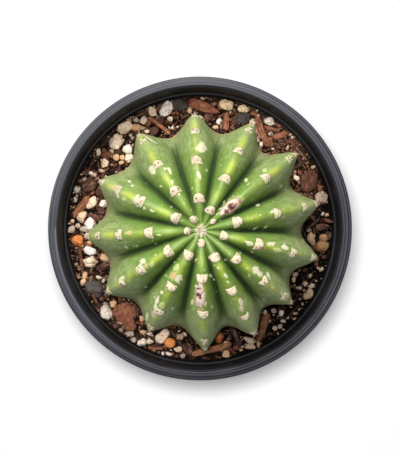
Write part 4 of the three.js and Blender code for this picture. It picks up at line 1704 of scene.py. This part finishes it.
@dataclass
class Pot:
    """The moulded pot: a rolled rim, a collar down to a ledge, a tapered wall and a raised base."""

    finishes: Finishes
    height: float = 95.0
    rim_radius: float = 63.5
    rim_width: float = 4.8
    rim_depth: float = 5.0
    rim_chamfer: tuple[float, float] = (1.3, 0.8)
    rim_slope: tuple[float, float] = (1.5, 1.1)
    rim_fall: float = 0.3
    rim_dip: float = 0.1
    rim_edge: float = 0.5
    collar_depth: float = 15.0
    collar_taper: float = 0.6
    ledge: float = 1.0
    wall: float = 1.3
    foot_radius: float = 45.0
    foot_width: float = 4.5
    foot_height: float = 2.0
    floor: float = 1.5
    edge: float = 0.8
    steps: int = 180
    drains: int = 8
    drain_radius: float = 3.2
    drain_sides: int = 28

    def _profile(self) -> list[tuple[float, float, float]]:
        """Draws the half section, from the middle of the base outwards, up and back inside.

        Returns:
            Its corners as radius, height and the radius that the corner is rounded to.
        """
        ledge_z = self.height - self.collar_depth
        rim_inner = self.rim_radius - self.rim_width
        ledge_outer = rim_inner - self.collar_taper
        ledge_inner = ledge_outer - self.ledge
        wall_top = ledge_z - self.wall
        floor_z = self.foot_height + self.floor
        return [
            (0, self.foot_height, 0),
            (self.foot_radius - self.foot_width - self.foot_height, self.foot_height, 0.6),
            (self.foot_radius - self.foot_width, 0, 0.4), (self.foot_radius, 0, self.edge),
            (ledge_inner + self.wall, wall_top - self.edge, 0.5), (ledge_outer + self.wall, wall_top, 0.5),
            (rim_inner + self.wall, self.height - self.rim_depth, 0.3),
            (self.rim_radius, self.height - self.rim_depth, 0.4),
            (self.rim_radius, self.height - self.rim_slope[1], self.rim_edge),
            (self.rim_radius - self.rim_slope[0], self.height - self.rim_fall, 0.4),
            (rim_inner + self.rim_chamfer[0] + 0.5, self.height - self.rim_dip, 0.2),
            (rim_inner + self.rim_chamfer[0], self.height, 0.3),
            (rim_inner, self.height - self.rim_chamfer[1], 0.5),
            (ledge_outer, ledge_z, 0.3), (ledge_inner, ledge_z, 0.3),
            (self.foot_radius - self.wall, floor_z, 0.8), (0, floor_z, 0),
        ]

    @staticmethod
    def _rounded(corners: Sequence[tuple[float, float, float]],
                 pieces: int = 4) -> list[tuple[float, float]]:
        """Rounds the corners of a half section.

        Args:
            corners: Its corners as radius, height and the radius that the corner is rounded to.
            pieces: How many straight pieces a rounded corner has.

        Returns:
            The points of the rounded section.
        """
        path: list[tuple[float, float]] = []
        for index, (x, z, radius) in enumerate(corners):
            if radius == 0:
                path.append((x, z))
                continue
            here = Vector((x, z))
            before = Vector(corners[index - 1][:2]) - here
            after = Vector(corners[index + 1][:2]) - here
            back = min(radius, before.length / 2, after.length / 2)
            start, end = here + before.normalized() * back, here + after.normalized() * back
            for step in range(pieces + 1):
                share = step / pieces
                point = start.lerp(here, share).lerp(here.lerp(end, share), share)
                path.append((point.x, point.y))
        return path

    def build(self) -> None:
        """Spins the section and cuts the drain holes."""
        work = Workpiece("nursery_pot")
        work.spin(self._rounded(self._profile()), self.steps)
        bmesh.ops.remove_doubles(work.mesh, verts=work.mesh.verts, dist=0.001)
        self._drill(work.finish(self.finishes.pot, Slot.POT, ["pot"]))

    def _drill(self, pot: bpy.types.Object) -> None:
        """Cuts the drain holes through the corner between base and wall.

        Args:
            pot: The pot.
        """
        cutter = bmesh.new()
        for index in range(self.drains):
            turn = math.tau * (index + 0.5) / self.drains
            place = (Matrix.Rotation(turn, 4, "Z")
                     @ Matrix.Translation((self.foot_radius - self.wall, 0, self.wall))
                     @ Matrix.Rotation(math.radians(45), 4, "Y"))
            bmesh.ops.create_cone(cutter, cap_ends=True, segments=self.drain_sides,
                                  radius1=self.drain_radius, radius2=self.drain_radius,
                                  depth=6 * self.drain_radius, matrix=place)
        bmesh.ops.scale(cutter, vec=(MM, MM, MM), verts=cutter.verts)
        tool = to_object("drain_cutter", cutter)
        cut = pot.modifiers.new("drains", "BOOLEAN")
        cut.operation, cut.solver, cut.object = "DIFFERENCE", "EXACT", tool
        graph = bpy.context.evaluated_depsgraph_get()
        drilled = bpy.data.meshes.new_from_object(pot.evaluated_get(graph))
        pot.modifiers.clear()
        pot.data = drilled
        bpy.data.objects.remove(tool)


# ---- the potting mix


@dataclass(frozen=True)
class Lying:
    """A loose piece of the model: its place, its three sizes, the way its length points, its tone.

    The outline of a chip is its reach at equal turns from its long end, and rounding takes off its corners.
    """

    name: str
    x: float
    y: float
    size: tuple[float, float, float]
    degrees: float
    tone: float = 0.4
    outline: tuple[float, ...] = ()
    rounding: float = 0.7


def lay_out(kind: str, *rows: tuple[Any, ...]) -> tuple[Lying, ...]:
    """Reads a table of loose pieces of one kind, each row what a piece has after its name."""
    return tuple(Lying(f"{kind}_{number}", *row) for number, row in enumerate(rows, 1))


CHIPS = lay_out(
    "bark_chip",
    (2.0, 51.8, (13.6, 5.2, 3.0), -20, 0.64,
     (1.05, 0.8, 0.72, 0.8, 0.95, 1.1, 1.1, 1.0, 1.1, 1.02, 0.9, 0.82, 0.78, 0.85), 0.8),
    (46.5, 20.4, (9.6, 7.6, 3.0), 70, 0.35,
     (1.12, 0.85, 0.82, 1.0, 0.85, 0.92, 1.1, 0.92, 0.95, 1.02, 0.85, 0.95), 0.6),
    (-31.6, -37.6, (12.4, 9.0, 3.0), -66, 0.6,
     (1.08, 1.05, 0.7, 1.1, 1.12, 1.0, 0.96, 1.1, 1.24, 0.9, 0.6, 1.02), 1.0),
    (-50.6, 9.2, (11.6, 3.8, 2.6), 52, 0.6, (1.0, 0.88, 0.9, 0.82, 1.02, 0.9, 0.92, 0.84), 0.25),
)
STICKS = lay_out(
    "bark_stick",
    (5.0, -51.4, (17.5, 2.8, 2.4), 17, 0.78), (26.9, -42.2, (13.0, 2.9, 2.4), 74, 0.74),
    (26.8, 41.4, (14.0, 2.6, 2.4), -70, 0.6), (11.4, 45.7, (7.8, 2.4, 2.2), 80, 0.6),
)
LUMPS = lay_out(
    "charcoal_lump",
    (-8.4, 52.6, (6.0, 5.2, 3.6), 20, 0.2), (18.4, 47.0, (6.4, 4.4, 3.0), -10, 0.3),
    (-44.6, -25.8, (8.4, 6.2, 4.0), -35, 0.7),
)
STONES = lay_out(
    "pumice_stone",
    (-14.2, 50.8, (6.6, 4.6, 4.4), 65, 0.05), (-32.0, 43.0, (6.6, 4.6, 4.2), 20, 0.28),
    (-35.2, 37.0, (6.2, 6.0, 4.6), 40, 0.26), (11.2, 52.7, (5.6, 4.4, 4.0), -15, 0.42),
    (29.6, 45.8, (5.0, 3.4, 3.4), -8, 0.1), (-46.8, 1.8, (5.4, 4.6, 4.2), 60, 0.1),
    (-46.8, -14.4, (6.0, 4.4, 3.8), 8, 0.3), (-40.2, -35.8, (7.0, 5.2, 4.8), -65, 0.1),
    (-16.0, -46.2, (6.6, 4.6, 4.2), 45, 0.3), (47.6, -4.2, (5.4, 3.8, 3.6), -70, 0.5),
    (46.4, -27.9, (4.8, 3.6, 3.4), 70, 0.45), (52.0, 13.0, (5.4, 4.2, 3.6), 75, 0.75),
)
PEBBLES = lay_out(
    "clay_pebble",
    (-52.2, -5.2, (5.2, 4.8, 4.2), 0, 0.2), (8.1, -46.6, (4.8, 4.0, 3.6), 60, 0.5),
    (52.4, -7.6, (5.2, 5.0, 4.0), 0, 0.94),
)
GRAVEL = marks(
    (153, 112, 11, 8, 110, 0.3), (143.5, 120, 8, 7, 60, 0.25), (136.5, 120, 6, 5, 0, 0.8),
    (136, 127.5, 9, 7, 0, 0.6), (142.5, 128, 5, 4, 0, 0.7), (146.5, 131.5, 5, 4, 0, 0.3),
    (127.5, 149, 11, 9, -10, 0.15), (98.5, 152, 7, 5, 80, 0.25), (111.5, 151, 5, 4, -60, 0.4),
    (116, 157.5, 7, 6, 0, 0.55), (122.5, 157.5, 6, 5, 0, 0.62), (129.5, 158, 10, 8, 80, 0.3),
    (105, 163, 9, 8, 90, 0.35), (101.4, 171, 6, 4, 0, 0.75), (90.9, 173.2, 5, 4, 80, 0.0),
    (94.2, 174.8, 5, 4, 0, 0.7), (84.5, 179.5, 5, 4, 0, 0.8), (76.8, 190, 8, 6, 90, 0.8),
    (75.5, 199.5, 6, 4, 90, 0.8), (91.8, 203.2, 13, 8, 52, 0.35), (103.2, 203.6, 8, 7, 0, 0.15),
    (82.3, 216.6, 11, 9, 70, 0.42), (77.7, 225.9, 5, 5, 0, 0.75), (71.8, 229.5, 8, 6, 70, 0.8),
    (84, 229.5, 9, 6, -20, 0.85), (89.5, 242.3, 6, 4, 20, 0.6), (90, 251.1, 14, 8, -22, 0.0),
    (105, 257.8, 9, 8, -20, 0.5), (84.6, 275.6, 9, 5, 72, 0.55), (83.3, 282, 7, 6, 60, 0.5),
    (98.9, 277.2, 6, 4, -20, 0.15), (103.3, 280.5, 4, 3, 60, 0.1), (105.5, 303.9, 5, 4, 0, 0.8),
    (113.3, 304.4, 7, 7, 0, 0.55), (120, 322.2, 6, 4, -20, 0.4), (141.7, 318.3, 6, 5, 80, 0.45),
    (129.4, 334, 9, 6, 10, 0.85), (143.3, 332.2, 6, 5, 0, 0.6), (150, 333.9, 8, 4, -10, 0.2),
    (141.7, 342.8, 9, 8, 0, 0.15), (149.6, 341.1, 8, 6, -20, 0.25), (133.9, 339.4, 6, 5, 60, 0.8),
    (158.3, 341.1, 5, 5, 0, 0.75), (180, 336.7, 7, 6, -20, 0.7), (177.8, 349.4, 8, 6, 0, 0.4),
    (168.9, 354.4, 7, 4, -20, 0.2), (162.6, 354.2, 4, 3, 80, 0.1), (182.8, 356.1, 6, 5, 0, 0.85),
    (225.6, 343.1, 5, 4, 0, 0.2), (226.3, 353.6, 8, 7, 60, 0.5), (250, 340.6, 12, 6, -15, 0.35),
    (250.6, 347.6, 10, 5, 0, 0.4), (259.4, 345.6, 8, 4, 95, 0.45), (241, 350, 4, 3, 0, 0.5),
    (281.3, 313.1, 6, 5, 80, 0.05), (283.1, 320.6, 5, 4, 0, 0.1), (280, 326.3, 5, 5, 0, 0.3),
    (275, 328.1, 5, 5, 0, 0.25), (273.8, 310.6, 5, 5, 0, 0.85), (295, 313.5, 5, 3, 0, 0.5),
    (321.3, 269.2, 5, 4, 20, 0.4), (295.3, 274.2, 6, 5, 0, 0.3), (293.6, 280, 6, 4, 80, 0.5),
    (310, 275.8, 4, 4, 0, 0.7), (305, 283.7, 6, 5, 60, 0.35), (311, 285.8, 7, 5, -10, 0.35),
    (300, 288, 4, 4, 0, 0.3), (302.5, 304.2, 4, 3, 80, 0.5), (296.7, 178.3, 7, 5, -50, 0.2),
    (313.3, 167, 5, 4, 0, 0.4), (319.2, 198.3, 11, 9, 80, 0.75), (320, 187.5, 4, 4, 0, 0.4),
    (326.7, 215, 4, 4, 0, 0.6), (309, 230, 5, 4, 0, 0.8), (202.5, 98.1, 5, 3, -10, 0.7),
    (200, 117.5, 5, 5, 0, 0.1), (219.4, 121.3, 7, 5, 80, 0.1), (215.6, 127.5, 6, 4, 0, 0.45),
    (243.1, 108.8, 12, 7, -10, 0.4), (258.1, 116.9, 6, 4, 80, 0.3), (251.9, 123, 9, 6, 85, 0.25),
    (255, 132.5, 5, 5, 0, 0.2), (258, 140.6, 4, 3, 0, 0.2), (270.6, 133.7, 5, 4, 0, 0.75),
    (287.5, 147.5, 6, 3, 70, 0.4), (292.5, 137.5, 3, 3, 0, 0.2), (303.3, 158.7, 4, 2, 80, 0.7),
    (172.5, 128, 3, 3, 0, 0.1), (288, 318, 3.2, 2.4, 0, 0.4), (296, 320, 3.6, 2.6, 30, 0.3),
    (269, 321, 3.4, 2.6, 0, 0.5), (304, 290, 3.2, 2.4, 0, 0.4), (297, 287.6, 3, 2.6, 0, 0.5),
    (318, 268, 3.2, 3, 0, 0.45), (291, 307, 2.8, 2.2, 0, 0.2), (300, 299, 2.8, 2.4, 0, 0.3),
    (316, 281, 2.8, 2.2, 0, 0.4), (287, 334, 3, 2.2, 0, 0.4), (279, 335, 2.8, 2.4, 0, 0.3),
)
NUGGETS = marks(
    (106, 155, 9, 8, 80, 0.45), (118.5, 152, 8, 4, 0, 0.3), (154, 131, 10, 7, 20, 0.2),
    (88.6, 185.5, 15, 13, 30, 0.16), (100, 192, 11, 9, 60, 0.14), (94.5, 216.8, 13, 6, -25, 0.26),
    (101.4, 211.4, 8, 7, 0, 0.28), (88.3, 258.5, 8, 5, 0, 0.3), (102.8, 266.7, 14, 6, 25, 0.12),
    (89.4, 243.9, 5, 5, 0, 0.7), (136.7, 311.7, 9, 4, 80, 0.34), (116.7, 325.6, 8, 5, 10, 0.3),
    (155.6, 346.1, 11, 4, 5, 0.2), (172.2, 327.2, 8, 4, 0, 0.7), (188.9, 348.5, 13, 8, -60, 0.16),
    (229, 338, 7, 4, 60, 0.3), (208.8, 116.9, 9, 8, -10, 0.3), (210, 98.4, 7, 3, -10, 0.4),
    (235, 120.6, 9, 8, 30, 0.24), (253.7, 113.8, 8, 5, -10, 0.7), (280, 135.6, 16, 6, 8, 0.76),
    (269.4, 140.6, 8, 6, 80, 0.6), (293.7, 142.5, 11, 7, -45, 0.42), (294, 150, 8, 5, -45, 0.55),
    (328.3, 220.8, 9, 4, -20, 0.7), (320, 226.7, 9, 7, 10, 0.3), (306.7, 195, 9, 6, 0, 0.12),
    (316.7, 246.7, 7, 7, 0, 0.68), (329, 235, 8, 6, 80, 0.3), (305, 270, 5, 4, 0, 0.5),
    (270.6, 319.4, 4, 3, 0, 0.7), (270, 333.8, 6, 3, 0, 0.6), (239, 343, 8, 5, 60, 0.16),
    (160, 121, 9, 7, 30, 0.14), (284, 322, 5, 4, 0, 0.6), (282, 143.5, 10, 8, 0, 0.24),
    (276, 138, 8, 4, -40, 0.6), (299, 158, 8, 4, -60, 0.5), (288, 152.5, 7, 4, 20, 0.45),
)
SPLINTERS = marks(
    (159.7, 125.7, 28, 3.8, -38, 0.68), (141.5, 112.5, 12, 2.2, 25, 0.5),
    (104, 138.5, 16, 1.6, 43, 0.2), (88, 162.5, 22, 1.9, 62, 0.2), (98.2, 163.6, 14, 1.3, 100, 0.5),
    (76.3, 261, 33, 3, 97, 0.5), (90.5, 295.5, 20, 3, -62, 0.4), (97, 302.5, 14, 2, -60, 0.3),
    (155, 350.6, 16, 2.5, -5, 0.75), (179.5, 342, 32, 3, -53, 0.2),
    (236.2, 337, 18, 4.5, -70, 0.22), (290, 323, 26, 1.4, 50, 0.4), (305, 150, 22, 1.8, -52, 0.95),
    (300.5, 165, 20, 3, 30, 0.2), (325.8, 193.3, 20, 4.6, -76, 0.72),
    (312.5, 224.5, 18, 3, 38, 0.2), (223.7, 115, 14, 2.6, 30, 0.45), (264, 115.5, 15, 2, -25, 0.2),
    (271.3, 128.7, 18, 4, -12, 0.7), (277.5, 145.6, 9, 2, -50, 0.4), (218.8, 360, 7, 1.5, -10, 0.6),
    (257.4, 131, 26, 2.2, -66, 0.85), (301, 163, 15, 1.6, -48, 0.9), (284, 131, 13, 1.8, -25, 0.85),
    (291, 160.5, 13, 1.5, 25, 0.6), (286, 139.5, 9, 1.4, -60, 0.9), (309, 170, 12, 1.6, -70, 0.7),
)
CLAY_BALLS = marks((170, 342.8, 11, 10, 0, 0.05), (323, 238, 9, 8, 0, 0.94))
GRAINED = ("tone", "along", "across")


@dataclass(frozen=True)
class Strewn:
    """A kind of small stuff strewn at random: its count, sizes, shape and tones.

    Stuff with no lift is the bed's own: it lies anywhere, and is toned by how stony the mix is.
    """

    name: str
    count: int
    shortest: float
    longest: float
    slender: tuple[float, float]
    flat: float
    squareness: float
    tones: tuple[float, float]
    lift: float
    evenly: bool = False


STREWN_GRAVEL = Strewn("pumice_grit", 190, 0.9, 3.2, (0.55, 1.0), 0.75, 0.8, (0.1, 1.0), 0.2)
STREWN_BARK = Strewn("bark_crumbs", 760, 1.4, 5.2, (0.22, 0.7), 0.4, 0.6, (0.0, 0.8), 0.1)
STREWN_GRIT = Strewn("fine_grit", 460, 0.4, 1.4, (0.6, 1.0), 0.8, 0.8, (0.0, 1.0), 0.5, True)
STREWN_CLAY = Strewn("clay_grit", 30, 0.8, 2.0, (0.7, 1.0), 0.8, 0.9, (0.0, 1.0), 0.2)
STREWN_PEAT = Strewn("peat_crumbs", 3400, 0.5, 2.3, (0.3, 1.0), 0.7, 0.7, (0.0, 0.95), 0.0)


@dataclass
class PottingMix:
    """The mix of peat, bark, pumice and fibre that fills the pot up to just under the ledge."""

    finishes: Finishes
    photo: PhotoFrame
    top: float = 79.0
    wall_radius: float = 56.7
    swell: float = 0.7
    ledge_inner: float = 57.1
    bed_inner: float = 33.0
    bed_rings: int = 44
    bed_steps: int = 320
    core: Curve = ((12.0, 52.0), (12.0, 40.0))
    skirt: Curve = ((50.0, 40.0),)
    foot_radii: tuple[float, float] = (12.0, 43.6)
    sunk: float = 0.42
    small_sunk: float = 0.3
    stone_rough: float = 0.27
    clay_rough: float = 0.12
    charcoal_rough: float = 0.3
    stone_flats: int = 9
    strewn_from: float = 37.0
    tilt: float = 0.4
    tries: int = 12
    fibres: int = 420
    seed: int = 21
    stony: Curve = (
        (0, 0.25), (24, 0.9), (40, 1.7), (60, 1.5), (78, 1.1), (110, 1), (150, 1), (180, 0.85),
        (208, 1.25), (240, 1.2), (270, 0.9), (292, 0.4), (315, 0.22), (345, 0.22), (360, 0.25))
    taken: list[tuple[float, float, float]] = field(default_factory=list)

    def __post_init__(self) -> None:
        """Seeds the random draws."""
        self.rng = random.Random(self.seed)

    def level(self, x: float, y: float) -> float:
        """Height of the soft surface that the grains lie on."""
        inside = 1 - (math.hypot(x, y) / self.ledge_inner) ** 6
        return self.top + max(inside, 0) * self.swell * math.sin(x * 0.23 + 1) * math.cos(y * 0.19)

    def _stoniness(self, x: float, y: float) -> float:
        """How stony and light the mix is on the bearing of a point."""
        return read_knots(self.stony, math.degrees(math.atan2(y, x)) % 360)

    def build(self) -> None:
        """Makes the bed, the loose pieces and the fine stuff between them."""
        self._bed()
        for lying in CHIPS:
            self._chip(lying)
        for lying in STICKS:
            work = Workpiece(lying.name + "_fine", *GRAINED)
            self._splinter(work, lying, 4)
            work.finish(self.finishes.wood, Slot.BARK, [lying.name])
        for group, material, slot, rough in (
                (LUMPS, self.finishes.charcoal, Slot.CHARCOAL, self.charcoal_rough),
                (STONES, self.finishes.pumice, Slot.PUMICE, self.stone_rough),
                (PEBBLES, self.finishes.clay, Slot.CLAY, self.clay_rough)):
            for lying in group:
                work = Workpiece(lying.name + "_fine", "tone")
                self._stone(work, lying, rough, 4)
                work.finish(material, slot, [lying.name])
        self._seen()
        for kind, material, slot in (
                (STREWN_GRAVEL, self.finishes.pumice, Slot.PUMICE),
                (STREWN_BARK, self.finishes.bark, Slot.BARK),
                (STREWN_GRIT, self.finishes.pumice, Slot.PUMICE),
                (STREWN_CLAY, self.finishes.clay, Slot.CLAY),
                (STREWN_PEAT, self.finishes.peat, Slot.SOIL)):
            self._strew(kind, material, slot)
        self._fibres()

    def _seen(self) -> None:
        """Lays the smaller pieces that the photograph shows where it shows them."""
        gravel, nuggets = Workpiece("gravel", "tone"), Workpiece("bark_nuggets", *GRAINED)
        splinters, clay = Workpiece("splinters", *GRAINED), Workpiece("clay_ball", "tone")
        for mark in GRAVEL:
            self._stone(gravel, self._from_mark(mark, 0.78), self.stone_rough, 3)
        for mark in NUGGETS:
            self._nugget(nuggets, self._from_mark(mark, 0.4))
        for mark in SPLINTERS:
            self._splinter(splinters, self._from_mark(mark, 0.8), 3)
        for mark in CLAY_BALLS:
            self._stone(clay, self._from_mark(mark, 0.8), self.clay_rough, 3)
        gravel.finish(self.finishes.pumice, Slot.PUMICE)
        nuggets.finish(self.finishes.bark, Slot.BARK)
        splinters.finish(self.finishes.wood, Slot.BARK)
        clay.finish(self.finishes.clay, Slot.CLAY)

    def _from_mark(self, mark: Mark, thickness: float) -> Lying:
        """Turns a piece seen in the photograph into its place and size in millimetres.

        Args:
            mark: What the photograph shows.
            thickness: The piece's thickness as a share of its width.

        Returns:
            The piece, moved inwards if it would touch the wall.
        """
        x, y = self.photo.plan(mark.px, mark.py, self.top)
        scale = self.photo.mm_per_px(self.top)
        length, width = mark.length * scale, mark.width * scale
        reach = self.wall_radius - 0.3 - (length + width) / 4
        inward = min(reach / math.hypot(x, y), 1)
        return Lying("", x * inward, y * inward, (length, width, width * thickness), mark.degrees,
                     mark.tone)

    def _bed(self) -> None:
        """Makes the body of the mix with a crumbly top and a hollow for the plant."""
        work = Workpiece("potting_mix", "tone")
        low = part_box("soil")[0].z / MM
        path = [(lerp(self.wall_radius, self.bed_inner, ring / self.bed_rings), self.top)
                for ring in range(self.bed_rings + 1)]
        path += [*self.core, *((radius, low) for radius in self.foot_radii), *self.skirt]
        work.spin(path, self.bed_steps, True)
        tone = work.mesh.verts.layers.float["tone"]
        for vert in work.mesh.verts:
            if vert.co.z > self.top - 0.01:
                flat = Vector((vert.co.x, vert.co.y, 0))
                rough = 0.75 * lumps(flat, 2.6) + 0.45 * lumps(flat, 1.1, 3) + 0.25 * lumps(flat, 0.5, 7)
                vert.co.z = self.level(vert.co.x, vert.co.y) + rough - 0.7
                vert[tone] = 0.35 * self._stoniness(vert.co.x, vert.co.y) + 0.25 * lumps(flat, 4.0, 11)
        work.finish(self.finishes.peat, Slot.SOIL, ["soil"])

    def _lay(self, work: Workpiece, verts: Iterable[bmesh.types.BMVert], lying: Lying,
             sunk: float) -> None:
        """Moves a unit shape to where a loose piece lies, and notes how its grain runs if it has any.

        Args:
            work: The mesh that it's part of.
            verts: Its vertices, around the origin.
            lying: Where it lies.
            sunk: How much of its thickness is in the mix.
        """
        length, width, thickness = lying.size
        grain = [work.mesh.verts.layers.float[name] for name in work.numbers
                 if name in ("along", "across")]
        turn = Matrix.Rotation(math.radians(lying.degrees), 3, "Z")
        centre = Vector((lying.x, lying.y, self.level(lying.x, lying.y) + thickness * (0.5 - sunk)))
        for vert in verts:
            sized = Vector((vert.co.x * length / 2, vert.co.y * width / 2, vert.co.z * thickness / 2))
            if grain:
                vert[grain[0]], vert[grain[1]] = sized.x, sized.y
            vert.co = centre + turn @ sized
        self.taken.append((lying.x, lying.y, (length + width) / 4))

    def _chip(self, lying: Lying) -> None:
        """Makes a bark chip: a worn plate with a ragged outline and long cracks.

        Args:
            lying: Where it lies.
        """
        work = Workpiece(lying.name + "_fine", *GRAINED)
        bmesh.ops.create_cube(work.mesh, size=2.0)
        bmesh.ops.subdivide_edges(work.mesh, edges=work.mesh.edges, cuts=11, use_grid_fill=True)
        seed = float(len(lying.name) + lying.x)
        tone = work.mesh.verts.layers.float["tone"]
        knots = [(index / len(lying.outline), reach)
                 for index, reach in enumerate((*lying.outline, lying.outline[0]))]
        for vert in work.mesh.verts:
            flat = Vector((vert.co.x, vert.co.y, 0))
            reach = max(abs(flat.x), abs(flat.y), 1e-6)
            flat = flat.lerp(flat.normalized() * reach, lying.rounding)
            turn = math.atan2(flat.y, flat.x)
            ragged = read_knots(knots, turn / math.tau % 1) + 0.1 * ring_noise(turn, 3, seed)
            crack = 0.5 * lumps(Vector((flat.x * 1.2, flat.y * 5.0, 0)), 0.9, seed)
            edge = 1 - 0.45 * reach ** 4
            vert.co = Vector((flat.x * ragged, flat.y * ragged, vert.co.z * edge + 0.4 * crack))
            vert[tone] = lying.tone + 0.3 * crack
        self._lay(work, work.mesh.verts, lying, self.sunk)
        work.finish(self.finishes.bark, Slot.BARK, [lying.name])

    def _splinter(self, work: Workpiece, lying: Lying, steps: int) -> None:
        """Makes a split stick with broken ends and long ridges.

        Args:
            work: The mesh that it's added to.
            lying: Where it lies.
            steps: How finely it's divided.
        """
        seed = lying.x + lying.y
        verts = work.ball(steps)
        work.mark(verts, tone=lying.tone)
        for vert in verts:
            square = squared(vert.co, 0.3, 0.6, 0.6)
            turn = math.atan2(square.z, square.y)
            ridge = noise.noise(Vector((1.2 * square.x, 2.0 * math.cos(turn),
                                        2.0 * math.sin(turn) + seed)))
            bend = 0.2 * math.sin(1.7 * square.x + seed)
            vert.co = Vector((square.x, square.y * (1 + 0.4 * ridge) + bend,
                              square.z * (1 + 0.4 * ridge)))
        self._lay(work, verts, lying, self.small_sunk)

    def _nugget(self, work: Workpiece, lying: Lying) -> None:
        """Makes a small worn plate of bark.

        Args:
            work: The mesh that it's added to.
            lying: Where it lies.
        """
        seed = lying.x - lying.y
        verts = work.ball(3)
        work.mark(verts, tone=lying.tone)
        for vert in verts:
            square = squared(vert.co, 0.7)
            ragged = 1 + 0.4 * lumps(Vector((square.x, square.y, 0)), 0.9, seed)
            thick = 1 + 0.5 * lumps(square, 0.5, seed)
            vert.co = Vector((square.x * ragged, square.y * ragged, square.z * thick))
        self._lay(work, verts, lying, self.small_sunk)

    def _stone(self, work: Workpiece, lying: Lying, rough: float, steps: int) -> None:
        """Makes a stone with a few worn flats, lumps and pits.

        Args:
            work: The mesh that it's added to.
            lying: Where it lies; a stone with no name is a small one.
            rough: How rough it is.
            steps: How finely it's divided.
        """
        seed = lying.x + 3 * lying.y
        verts = work.ball(steps)
        work.mark(verts, tone=lying.tone)
        rng = random.Random(seed)
        flats = [(any_way(rng), rng.uniform(0.74, 0.98)) for _ in range(self.stone_flats)]
        for vert in verts:
            block = squared(vert.co, 0.85)
            cut = min(min(depth / max(flat.dot(block), 0.01) for flat, depth in flats), 1.1)
            swell = lerp(1, cut, 3.2 * rough) + rough * lumps(block, 0.8, seed)
            vert.co = block * (swell + 0.5 * rough * lumps(block, 0.3, seed))
        self._lay(work, verts, lying, self.sunk if lying.name else self.small_sunk)

    def _strew(self, kind: Strewn, material: bpy.types.Material, slot: Slot) -> None:
        """Strews small pieces of one kind over the mix where no larger one lies.

        Args:
            kind: What is strewn.
            material: Its finish.
            slot: The record's slot for that finish.
        """
        rng = self.rng
        work = Workpiece(kind.name, "tone")
        laid = 0
        for _ in range(self.tries * kind.count):
            bearing = rng.uniform(0, 360)
            out = math.sqrt(rng.uniform(self.strewn_from ** 2, (self.wall_radius - 0.6) ** 2))
            length = lerp(kind.shortest, kind.longest, rng.random() ** 1.8)
            x, y = polar(math.radians(bearing), out)
            if kind.lift and (rng.random() > (kind.evenly or read_knots(self.stony, bearing))
                              or out + length / 2 > self.wall_radius
                              or not self._is_free(x, y, 0.4 * length)):
                continue
            width = length * rng.uniform(*kind.slender)
            centre = Vector((x, y, self.level(x, y) + length * kind.lift * rng.uniform(-0.4, 1)))
            tilt = (Matrix.Rotation(rng.uniform(-self.tilt, self.tilt), 3, "X")
                    @ Matrix.Rotation(rng.uniform(-self.tilt, self.tilt), 3, "Y"))
            turn = Matrix.Rotation(rng.uniform(0, math.tau), 3, "Z") @ tilt
            verts = work.ball(1)
            light = 1.0 if kind.lift else self._stoniness(x, y)
            work.mark(verts, tone=rng.uniform(*kind.tones) * light)
            half = Vector((length, width, max(width, length * 0.5) * kind.flat)) / 2
            for vert in verts:
                part = squared(vert.co, kind.squareness)
                vert.co = centre + turn @ (part * half * (1 + rng.uniform(-0.16, 0.16)))
            if kind.lift:
                self.taken.append((x, y, 0.4 * length))
            laid += 1
            if laid == kind.count:
                break
        work.finish(material, slot)

    def _is_free(self, x: float, y: float, reach: float) -> bool:
        """Whether no piece laid so far covers a spot of a size."""
        return all((x - other_x) ** 2 + (y - other_y) ** 2 > (0.75 * (reach + other)) ** 2
                   for other_x, other_y, other in self.taken)

    def _fibres(self) -> None:
        """Strews thin fibres over the mix."""
        rng = self.rng
        work = Workpiece("wood_fibres", "tone")
        for _ in range(self.fibres):
            turn, out = rng.uniform(0, math.tau), rng.uniform(self.strewn_from + 1, self.wall_radius - 3)
            x, y = polar(turn, out)
            way, length = rng.uniform(0, math.tau), rng.uniform(1.5, 6.0)
            half = Vector((*polar(way, 1), rng.uniform(-0.12, 0.12))) * length / 2
            centre = Vector((x, y, self.level(x, y) + rng.uniform(0.2, 0.9)))
            if max((centre + half).xy.length, (centre - half).xy.length) < self.wall_radius - 0.3:
                work.mark(work.thorn(centre - half, centre + half, rng.uniform(0.07, 0.22), 5),
                          tone=rng.uniform(0.1, 0.9))
        work.finish(self.finishes.wood, Slot.BARK)


# ---- the whole part


def corners(box: Sequence[Vector]) -> list[list[float]]:
    """Turns a box into plain numbers."""
    return [list(corner) for corner in box]


def main() -> None:
    """Builds the plant, the pot, the mix and the stage."""
    logging.basicConfig(level=logging.INFO, format="%(name)s %(message)s")
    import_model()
    finishes = Finishes()
    form = StemForm()
    photo = PhotoFrame()
    Studio(photo).build()
    Pot(finishes).build()
    Stem(finishes, form, Blemishes(photo)).build()
    Areoles(finishes, form).build()
    Scabs(finishes, photo, form).build()
    PottingMix(finishes, photo).build()
    bpy.context.view_layer.update()


if __name__ == "__main__":
    main()
